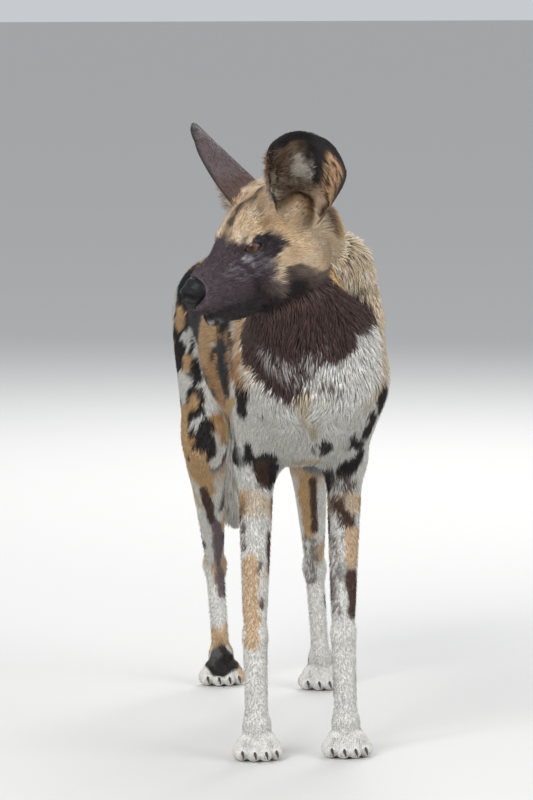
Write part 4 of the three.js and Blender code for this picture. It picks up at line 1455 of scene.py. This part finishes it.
whisker_roots, whisker_ways = [], []
whisker_rng = np.random.default_rng(108)
for _, s in SIDES:
    for row in range(WHISKER["rows"]):
        for i in range(WHISKER["in_row"]):
            back, down = WHISKER["apart"] * i, WHISKER["drop"] * row
            guess = in_head(0.068 - back, s * (0.020 + 0.0015 * i), -0.046 - down)
            guess = guess + whisker_rng.normal(0, 0.0008, 3)
            whisker_roots.append(draw_on(guess[None], skin_distance)[0])
            whisker_ways.append(unit(-0.45 * FORWARD + s * 0.80 * LEFT - (0.15 + 0.12 * row) * UP))
whiskers = make_object("whiskers", whisker_roots, [])
way_layer = whiskers.data.attributes.new("way", "FLOAT_VECTOR", "POINT")
way_layer.data.foreach_set("vector", np.array(whisker_ways, np.float32).ravel())
grow = whiskers.modifiers.new("whiskers", "NODES")
grow.node_group = whisker_tree()
set_input(grow, "Length", WHISKER["length"])
set_input(grow, "Thickness", WHISKER["thickness"])
bpy.context.view_layer.update()
grown = bpy.data.meshes.new_from_object(whiskers.evaluated_get(bpy.context.evaluated_depsgraph_get()))
whiskers.modifiers.clear()
whiskers.data = grown
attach(whiskers, "root")
print("whiskers", len(whisker_roots), "with", len(grown.polygons), "faces")

# %% [markdown]
# ## The coat
# A wild dog has stiff, sparse hair with no underfur: a few millimetres on the
# face and legs, longer on the ruff and bib, longest on the tail. Hair curves
# would be dropped by the export, and Geometry Nodes can't easily follow this
# many rules, so each tuft is a thin solid spike written into arrays. Its root
# is under the skin, it leans the way the hair lies there, and its tip stays
# within the solid model. Long tufts have a bend half way.

# %% Reading the skin
def skin_triangles(mesh):
    """Corners and corner normals of the skin's triangles."""
    mesh.calc_loop_triangles()
    corners = np.empty(len(mesh.loop_triangles) * 3, int)
    mesh.loop_triangles.foreach_get("vertices", corners)
    normals = np.empty(len(mesh.vertices) * 3)
    mesh.vertex_normals.foreach_get("vector", normals)
    corners = corners.reshape(-1, 3)
    return (mesh_points(mesh) - SHIFT)[corners], normals.reshape(-1, 3)[corners]


triangles, triangle_normals = skin_triangles(skin.data)
triangle_middles = triangles.mean(axis=1)
triangle_areas = np.linalg.norm(
    np.cross(triangles[:, 1] - triangles[:, 0], triangles[:, 2] - triangles[:, 0]), axis=1) / 2
middle_whole, middle_regions = chart_distances(triangle_middles)
triangle_region = np.argmin(np.stack([middle_regions[r] for r in REGIONS]), axis=0)
on_ear = middle_whole > 0.0015
print("skin area", round(float(triangle_areas.sum()), 3), "square metres")


def scatter(rng, wanted, per_square_cm):
    """Random roots on the wanted triangles, with their normals."""
    chosen = np.flatnonzero(wanted)
    number = triangle_areas[chosen] * 10000 * per_square_cm
    number = np.floor(number + rng.random(len(chosen))).astype(int)
    owner = np.repeat(chosen, number)
    a, b = rng.random(len(owner)), rng.random(len(owner))
    over = a + b > 1
    a, b = np.where(over, 1 - a, a), np.where(over, 1 - b, b)
    weight = np.stack([1 - a - b, a, b], 1)[..., None]
    return (triangles[owner] * weight).sum(1), unit((triangle_normals[owner] * weight).sum(1))


# %% [markdown]
# ## Which way the hair lies
# Hair grows away from the nose, back along the neck and trunk, down the legs
# and out along the tail. On the breast two whorls turn it. A little noise
# bends neighbours together, which parts the coat into locks.

# %% Lie of the hair
LIE = {
    "trunk": vec(0, 0.94, -0.34), "neck": vec(0, 0.72, -0.69), "foreleg": vec(0, 0.15, -0.99),
    "hindleg": vec(0, 0.22, -0.97), "paw": vec(0, -0.85, -0.53), "tail": vec(0, 0.1, -0.99),
}
WHORLS = tuple(zip(on_body([292, 322], [430, 424]), (0.034, 0.034), (1, -1)))


def lie(points, normals, share):
    """Direction of the hair along the skin."""
    nose_tip = in_head(0.100, 0, -0.030)
    away = unit(points - nose_tip)
    total = share[REGIONS.index("head")][:, None] * away
    for region, direction in LIE.items():
        total = total + share[REGIONS.index(region)][:, None] * direction
    breast = ramp(-normals[:, 1], 0.3, 0.8) * share[REGIONS.index("neck")]
    total = total + breast[:, None] * vec(0, 0, -1.2)
    breast = ramp(-normals[:, 1], 0.3, 0.8) * share[REGIONS.index("trunk")]
    total = total + breast[:, None] * vec(0, -1.2, -0.9)
    for centre, size, turn in WHORLS:
        q = points - centre
        near = np.exp(-(q * q).sum(1) / size**2)
        total = total + (2.2 * near)[:, None] * unit(turn * np.cross(q, -Y) + 0.5 * q)
    sway = np.stack([noise(points, 0.022, 20 + i) - 0.5 for i in range(3)], 1)
    sway += 0.5 * np.stack([noise(points, 0.009, 24 + i) - 0.5 for i in range(3)], 1)
    total = unit(total) + 0.9 * sway
    return unit(total - (total * normals).sum(1)[:, None] * normals)


print("whorls", len(WHORLS))

# %% [markdown]
# ## Tufts
# A short tuft is a spike of four triangles. A long one has a ring half way, so
# that it can bend, and ten triangles. Both are closed. On the map each keeps a
# small patch at the place of its root, so a baked colour lands where it grows.

# %% Tufts
PATCH = 0.0015
SPIKE_FACES = np.array([(0, 1, 3), (1, 2, 3), (2, 0, 3), (0, 2, 1)])
LOCK_FACES = np.array([
    (0, 1, 4), (0, 4, 3), (1, 2, 5), (1, 5, 4), (2, 0, 3),
    (2, 3, 5), (3, 4, 6), (4, 5, 6), (5, 3, 6), (0, 2, 1),
])
SPIKE_UV = np.array([(-1, -1), (1, -1), (0, -0.3), (0, 1)]) * PATCH
LOCK_UV = np.array([(-1, -1), (1, -1), (0, -0.5), (-0.6, 0.1), (0.6, 0.1), (0, 0.4), (0, 1)]) * PATCH
MOST_TRIANGLES = 190000


def tuft_arrays(roots, normals, ways, lengths, widths, heights, long):
    """Vertices of every tuft: a ridge of three points at the root, perhaps three more, and a tip."""
    side = np.cross(normals, ways) * (widths / 2)[:, None]
    ridge = normals * (widths * 0.35)[:, None]
    foot = roots - normals * (widths * 0.5 + 0.0003)[:, None]
    tip = roots + ways * lengths[:, None] + normals * heights[:, None]
    base = [foot + side, foot - side, foot + ridge * 1.6]
    if not long:
        return np.stack(base + [tip], 1)
    middle = roots + ways * (lengths * 0.5)[:, None] + normals * (heights * 0.75)[:, None]
    ring = [middle + side * 0.85, middle - side * 0.85, middle + ridge * 0.8]
    return np.stack(base + ring + [tip], 1)


def coat_object(name, verts, colours, places, long):
    """One mesh of tufts with its colours, darkened at the roots as painted shade and lightened at the tips as
    painted light, and its OFBake map.
    """
    per, pattern = verts.shape[1], LOCK_FACES if long else SPIKE_FACES
    faces = (np.arange(len(verts))[:, None, None] * per + pattern).reshape(-1, 3)
    mesh = bpy.data.meshes.new(name)
    mesh.vertices.add(len(verts) * per)
    mesh.vertices.foreach_set("co", (verts.reshape(-1, 3) + SHIFT).ravel())
    mesh.loops.add(faces.size)
    mesh.loops.foreach_set("vertex_index", faces.ravel())
    mesh.polygons.add(len(faces))
    mesh.polygons.foreach_set("loop_start", np.arange(0, faces.size, 3))
    mesh.update(calc_edges=True)
    # each tuft's colour is painted darker at its root and lighter at its tip: painted shade deep in the coat
    # and painted light on the tips
    along = np.array([0.0, 0.0, 0.1, 0.55, 0.55, 0.6, 1.0] if long else [0.0, 0.0, 0.15, 1.0])
    root_shade_tip_light = mix(0.66, 1.18, along)
    set_colour(mesh, (colours[:, None, :] * root_shade_tip_light[:, None]).reshape(-1, 3))
    uv = places[:, None, :] + (LOCK_UV if long else SPIKE_UV)
    layer = mesh.uv_layers.new(name="OFBake")
    layer.data.foreach_set("uv", np.clip(uv, 0, 1).reshape(-1, 2)[faces.ravel()].ravel())
    mesh.materials.append(HAIR)
    obj = bpy.data.objects.new(name, mesh)
    bpy.context.scene.collection.objects.link(obj)
    smooth(obj)
    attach(obj, "root")
    print(name, len(verts), "tufts", len(faces), "triangles")


def coat(name, rng, roots, normals, ways, lengths, width, rise, colours, places, long=False, wrap=True):
    """Grows one part of the coat, split where it would pass the most triangles."""
    count = len(roots)
    widths = width * rng.uniform(0.75, 1.25, count)
    heights = rise * rng.uniform(0.35, 1.0, count)
    if wrap:
        tips = roots + ways * lengths[:, None] + normals * heights[:, None]
        whole, regions = chart_distances(tips)
        depth = coat_depth(shares(regions))
        over = whole + depth
        wanted = np.clip(depth * rng.uniform(0.35, 0.95, count), 0.0006, None)
        heights = heights + np.clip(wanted - over, -0.012, 0.008)
    tone = 1 + rng.normal(0, 0.13, count)[:, None] + rng.normal(0, 0.025, (count, 3))
    colours = np.clip(colours * tone, 0.003, 0.95)
    verts = tuft_arrays(roots, normals, ways, lengths, widths, heights, long)
    pieces = math.ceil(count * len(LOCK_FACES if long else SPIKE_FACES) / MOST_TRIANGLES)
    order = np.argsort(roots[:, 1])
    for i, part in enumerate(np.array_split(order, pieces)):
        label = name if pieces == 1 else f"{name}_{i + 1}"
        coat_object(label, verts[part], colours[part], places[part], long)


def unwrap(points, centre, axis, low, high, column=0, columns=1):
    """Places on the skin's own shape, unrolled round an axis into a column of the map."""
    axis = unit(axis)
    first = unit(np.cross(axis, X + 0.3 * Z))
    second = np.cross(axis, first)
    q = points - centre
    angle = np.arctan2(q @ second, q @ first) / (2 * math.pi) + 0.5
    along = (q @ axis - low) / (high - low)
    return np.stack([(column + 0.02 + 0.96 * angle) / columns, 0.01 + 0.98 * np.clip(along, 0, 1)], 1)


print("a tuft's patch of the map is", 2 * PATCH, "wide")

# %% [markdown]
# ## Short hair of the face
# The face has the shortest hair, finest round the nose and eyes. Lids, lips and
# nose are bare.

# %% Face coat
def region_is(*names):
    return np.isin(triangle_region, [REGIONS.index(n) for n in names]) & ~on_ear


def region_shares(points):
    _, regions = chart_distances(points)
    return shares(regions)


FACE_HAIR = {"per_cm2": 50, "width": 0.0009, "rise": 0.0016}
BARE = {"lid": 0.0009, "ball": 0.004, "lip": 0.0012, "nose": 0.0008}

rng = np.random.default_rng(101)
roots, normals = scatter(rng, region_is("head"), FACE_HAIR["per_cm2"])
f, o, u = head_parts(roots)
bare = np.zeros(len(roots), bool)
for _, s in SIDES:
    edge, ball = eye_opening(roots, s)
    bare |= (edge < BARE["lid"]) & (ball < EYE["radius"] + BARE["ball"])
lips = line_distance(np.stack([f, np.abs(o), u], 1), [vec(*p) for p in LIP_LINE])
bare |= lips < BARE["lip"]
bare |= nose_distance(roots) < BARE["nose"]
roots, normals, f, u = roots[~bare], normals[~bare], f[~bare], u[~bare]
share = region_shares(roots)
lengths = mix(0.0105, 0.0038, ramp(f, -0.03, 0.055)) * rng.uniform(0.8, 1.2, len(roots))
lengths += 0.013 * ramp(-f, 0.045, 0.085) + 0.004 * ramp(-u, 0.05, 0.10) * ramp(-f, -0.02, 0.02)
for _, s in SIDES:
    _, ball = eye_opening(roots, s)
    lengths *= mix(0.45, 1, ramp(ball, 0.014, 0.024))
coat(
    "coat_face", rng, roots, normals, lie(roots, normals, share), lengths,
    FACE_HAIR["width"], FACE_HAIR["rise"],
    marking(roots), unwrap(roots, HEAD_PLACE - 0.02 * UP, FORWARD, -0.13, 0.11),
)

# %% [markdown]
# ## Ruff and bib
# The neck carries the longest hair of the front: shaggy, in locks that stand
# out under the jaw and at the side of the neck.

# %% Neck coat
RUFF_HAIR = {"per_cm2": 24, "width": 0.0021, "rise": 0.008}

rng = np.random.default_rng(102)
roots, normals = scatter(rng, region_is("neck"), RUFF_HAIR["per_cm2"])
share = region_shares(roots)
lengths = mix(0.018, 0.034, noise(roots, 0.03, 30)) * rng.uniform(0.75, 1.25, len(roots))
coat(
    "coat_ruff", rng, roots, normals, lie(roots, normals, share), lengths,
    RUFF_HAIR["width"], RUFF_HAIR["rise"],
    marking(roots), unwrap(roots, vec(0, 0, 0.56), vec(-0.024, -0.138, 0.12), -0.15, 0.22), long=True,
)

# %% [markdown]
# ## Trunk, legs and feet
# Short hair that lies flat. On the feet it is finest, and runs down over the toes.

# %% Body coat
BODY_HAIR = {"per_cm2": 17, "width": 0.0019, "rise": 0.004}

rng = np.random.default_rng(103)
roots, normals = scatter(rng, region_is("trunk"), BODY_HAIR["per_cm2"])
share = region_shares(roots)
lengths = mix(0.013, 0.020, noise(roots, 0.04, 31)) * rng.uniform(0.8, 1.2, len(roots))
coat(
    "coat_body", rng, roots, normals, lie(roots, normals, share), lengths,
    BODY_HAIR["width"], BODY_HAIR["rise"],
    marking(roots), unwrap(roots, vec(0, 0, 0.52), Y, -0.16, 0.62),
)


def leg_places(points, low, high):
    """The four legs side by side on the map."""
    places = np.zeros((len(points), 2))
    for column, (hind, left) in enumerate(((0, 0), (0, 1), (1, 0), (1, 1))):
        joints = (HINDLEG if hind else FORELEG)["left" if left else "right"]
        mine = ((points[:, 1] > 0.25) == hind) & ((points[:, 0] > (0.02 if hind else 0)) == left)
        x, y, z = joints[::-1].T
        height = points[mine, 2]
        bent = np.stack([np.interp(height, z, x), np.interp(height, z, y)], 1)
        flat = points[mine].copy()
        flat[:, :2] -= bent
        places[mine] = unwrap(flat, vec(0, 0, 0), Z, low, high, column, 4)
    return places


for name, regions, per, size, width, rise, seed, top in (
    ("coat_legs", ("foreleg", "hindleg"), 26, 0.0078, 0.0012, 0.0018, 104, 0.64),
    ("coat_feet", ("paw",), 40, 0.0062, 0.0010, 0.0010, 105, 0.07),
):
    rng = np.random.default_rng(seed)
    roots, normals = scatter(rng, region_is(*regions), per)
    clear = roots[:, 2] > 0.004
    roots, normals = roots[clear], normals[clear]
    share = region_shares(roots)
    lengths = size * mix(0.8, 1.3, ramp(roots[:, 2], 0.15, 0.45)) * rng.uniform(0.8, 1.2, len(roots))
    coat(
        name, rng, roots, normals, lie(roots, normals, share), lengths, width, rise,
        marking(roots), leg_places(roots, 0, top),
    )

# %% [markdown]
# ## Tail
# The brush is the longest hair of all, hanging along the tail and spreading.

# %% Tail coat
TAIL_HAIR = {"per_cm2": 24, "width": 0.0023, "rise": 0.009}

rng = np.random.default_rng(106)
roots, normals = scatter(rng, region_is("tail"), TAIL_HAIR["per_cm2"])
share = region_shares(roots)
lengths = mix(0.020, 0.046, ramp(-roots[:, 2], -0.56, -0.40)) * rng.uniform(0.7, 1.2, len(roots))
lengths = np.minimum(lengths, 0.012 + np.clip(roots[:, 2] - 0.225, 0, 1))
coat(
    "coat_tail", rng, roots, normals, lie(roots, normals, share), lengths,
    TAIL_HAIR["width"], TAIL_HAIR["rise"],
    marking(roots), unwrap(roots, vec(0, 0.62, 0.4), Z, -0.2, 0.22), long=True,
)

# %% [markdown]
# ## Ears
# Behind, the ear's hair is short and lies towards the tip. Inside, long pale
# hair grows out from the front edge across the cup.

# %% Ear hair
EAR_INSIDE = {"per": 5200, "length": 0.0125}
EAR_BEHIND = {"per": 5600, "length": 0.0075}
EAR_FRINGE = {"per": 1800, "length": 0.0175}
EAR_FOOT = {"per": 1500, "length": 0.0160}


def ear_lie(s, u, v):
    """The way into the cup, to the tip and across, at ear numbers u and v."""
    inward = unit(ear_point(s, u, v, 0.0) - ear_point(s, u, v, 1.0))
    tipward = unit(ear_point(s, u, np.minimum(v + 0.02, 0.999), 0.5) - ear_point(s, u, v - 0.02, 0.5))
    outward = unit(ear_point(s, u + 0.02, v, 0.5) - ear_point(s, u - 0.02, v, 0.5))
    return inward, tipward, outward


def ear_numbers_drawn(rng, count, low=0.02, high=0.975):
    """Random ear numbers, thicker towards the tip where the ear is broad."""
    u = rng.uniform(-0.97, 0.97, count)
    v = low + (high - low) * np.sqrt(rng.random(count))
    return u, np.where(rng.random(count) < 0.5, low + (high - low) * rng.random(count), v)


def ear_places(s, column, u, v, wide):
    """Places on the map: two columns for each ear, inside and behind."""
    return np.stack([(column + (0 if s > 0 else 2) + wide * (u + 1)) / 4, 0.01 + 0.98 * v], 1)


print("hairs of one ear", sum(kind["per"] for kind in (EAR_INSIDE, EAR_BEHIND, EAR_FRINGE, EAR_FOOT)))

# %% Ear coat
ear_parts = []
rng = np.random.default_rng(107)
for _, s in SIDES:
    for layer, kind in ((0, EAR_INSIDE), (1, EAR_BEHIND)):
        u, v = ear_numbers_drawn(rng, kind["per"])
        roots = ear_point(s, u, v, 0.72 if layer else 0.34)
        inward, tipward, outward = ear_lie(s, u, v)
        sway = (noise(roots, 0.012, 32) - 0.5)[:, None] * 1.2
        if layer:
            ways = unit(tipward + sway * outward)
            lengths = kind["length"] * mix(1.0, 0.7, v) * rng.uniform(0.7, 1.3, len(u))
            rise = np.full(len(u), 0.0012)
        else:
            ways = unit(0.8 * tipward - outward * (0.6 * np.sign(u))[:, None] + sway * outward)
            lengths = kind["length"] * mix(1.3, 0.55, ramp(v, 0.3, 0.9)) * rng.uniform(0.7, 1.3, len(u))
            rise = mix(0.005, 0.0015, ramp(v, 0.3, 0.9))
        edge = (np.abs(u) > 0.85) | (v > 0.9)
        lengths = np.where(edge, np.minimum(lengths, 0.004), lengths)
        normals = -inward if layer else inward
        places = ear_places(s, layer + 0.02, u, v, 0.48)
        ear_parts.append((roots, normals, ways, lengths, rise, ear_colour(u, v, layer, s), places))

# the fringe: hair of the cup's front edge, part of it growing out over the edge
for _, s in SIDES:
    count = EAR_FRINGE["per"]
    ear_numbers_drawn(rng, count)
    v = rng.triangular(0.02, 0.18, 0.68, count)
    u = s * (0.97 - 0.55 * rng.random(count) ** 1.4)
    roots = ear_point(s, u, v, 0.34)
    normals, tipward, _ = ear_lie(s, u, v)
    edgeward = unit(ear_point(s, u + 0.02 * np.sign(u), v, 0.5) - ear_point(s, u, v, 0.5))
    sway = (noise(roots, 0.010, 35) - 0.5)[:, None]
    beyond = rng.random(count) < 0.45
    u = np.where(beyond, s * rng.uniform(0.88, 0.97, count), u)
    roots = ear_point(s, u, v, 0.34)
    over_edge = unit(1.0 * edgeward + 0.45 * tipward + 0.10 * normals + 1.2 * sway * tipward)
    in_cup = unit(0.45 * edgeward + 0.70 * tipward + 0.55 * normals + 1.6 * sway * edgeward)
    ways = np.where(beyond[:, None], over_edge, in_cup)
    lengths = EAR_FRINGE["length"] * mix(1.1, 0.5, v / 0.6) * rng.uniform(0.6, 1.3, count)
    darker = np.clip(v * 1.6 + rng.random(count) * 0.6, 0, 1)
    colours = paint(plain(linear(214, 204, 190), u), linear(140, 114, 92), darker)
    places = ear_places(s, 0.52, u, v, 0.24)
    ear_parts.append((roots, normals, ways, lengths, np.full(count, 0.002), colours, places))

# the foot: crossing hair that closes the cup, leaning as random places of the ear do
for _, s in SIDES:
    count = EAR_FOOT["per"]
    _, tipward, outward = ear_lie(s, *ear_numbers_drawn(rng, count))
    u = rng.uniform(-0.95, 0.95, count)
    v = 0.015 + 0.22 * rng.random(count) ** 1.3
    roots = ear_point(s, u, v, 0.34)
    normals, _, _ = ear_lie(s, u, v)
    sway = (noise(roots, 0.008, 38) - 0.5)[:, None]
    ways = unit(0.75 * tipward + 0.75 * normals + 1.8 * sway * outward)
    lengths = EAR_FOOT["length"] * rng.uniform(0.6, 1.3, count)
    colours = paint(plain(linear(196, 172, 146), u), linear(112, 86, 70), rng.random(count))
    places = ear_places(s, 0.52, u, v, 0.24)
    ear_parts.append((roots, normals, ways, lengths, np.full(count, 0.002), colours, places))

joined = [np.concatenate(column) for column in zip(*ear_parts)]
roots, normals, ways, lengths, rise, colours, places = joined
coat("coat_ears", rng, roots, normals, ways, lengths, 0.0010, rise, colours, places, wrap=False)

# %% [markdown]
# ## Floor and light
# The picture's light is an overcast sky: broad and soft from above, a little
# stronger from the camera's left. A pale floor and three large lamps give it.

# %% Stage
FLOOR_HALF = 40.0
FLOOR_INK = linear(204, 203, 200)
SKY = {"colour": linear(226, 230, 236), "strength": 0.75}
LAMP_AIM = Vector((0, 0, 0.45))
floor = make_object(
    "floor",
    [vec(x * FLOOR_HALF, y * FLOOR_HALF, 0) - SHIFT for x, y in ((-1, -1), (1, -1), (1, 1), (-1, 1))],
    [(0, 1, 2, 3)],
    plain_material("floor", FLOOR_INK, 0.9),
)

world = bpy.data.worlds.new("sky")
world.use_nodes = True
sky = world.node_tree.nodes["Background"]
sky.inputs["Color"].default_value = (*SKY["colour"], 1)
sky.inputs["Strength"].default_value = SKY["strength"]
bpy.context.scene.world = world

LAMPS = (
    ("key", (-2.6, -3.2, 3.2), 2.6, 190),
    ("fill", (3.2, -2.4, 2.2), 3.0, 80),
    ("rim", (1.0, 3.4, 3.0), 2.4, 120),
)
for name, place, size, power in LAMPS:
    lamp_data = bpy.data.lights.new(name, "AREA")
    lamp_data.size = size
    lamp_data.energy = power
    lamp = bpy.data.objects.new(name, lamp_data)
    bpy.context.scene.collection.objects.link(lamp)
    lamp.location = place
    lamp.rotation_mode = "QUATERNION"
    lamp.rotation_quaternion = (LAMP_AIM - Vector(place)).to_track_quat("-Z", "Y")
bpy.context.scene.view_settings.view_transform = "Standard"
print("lamps", len(LAMPS))
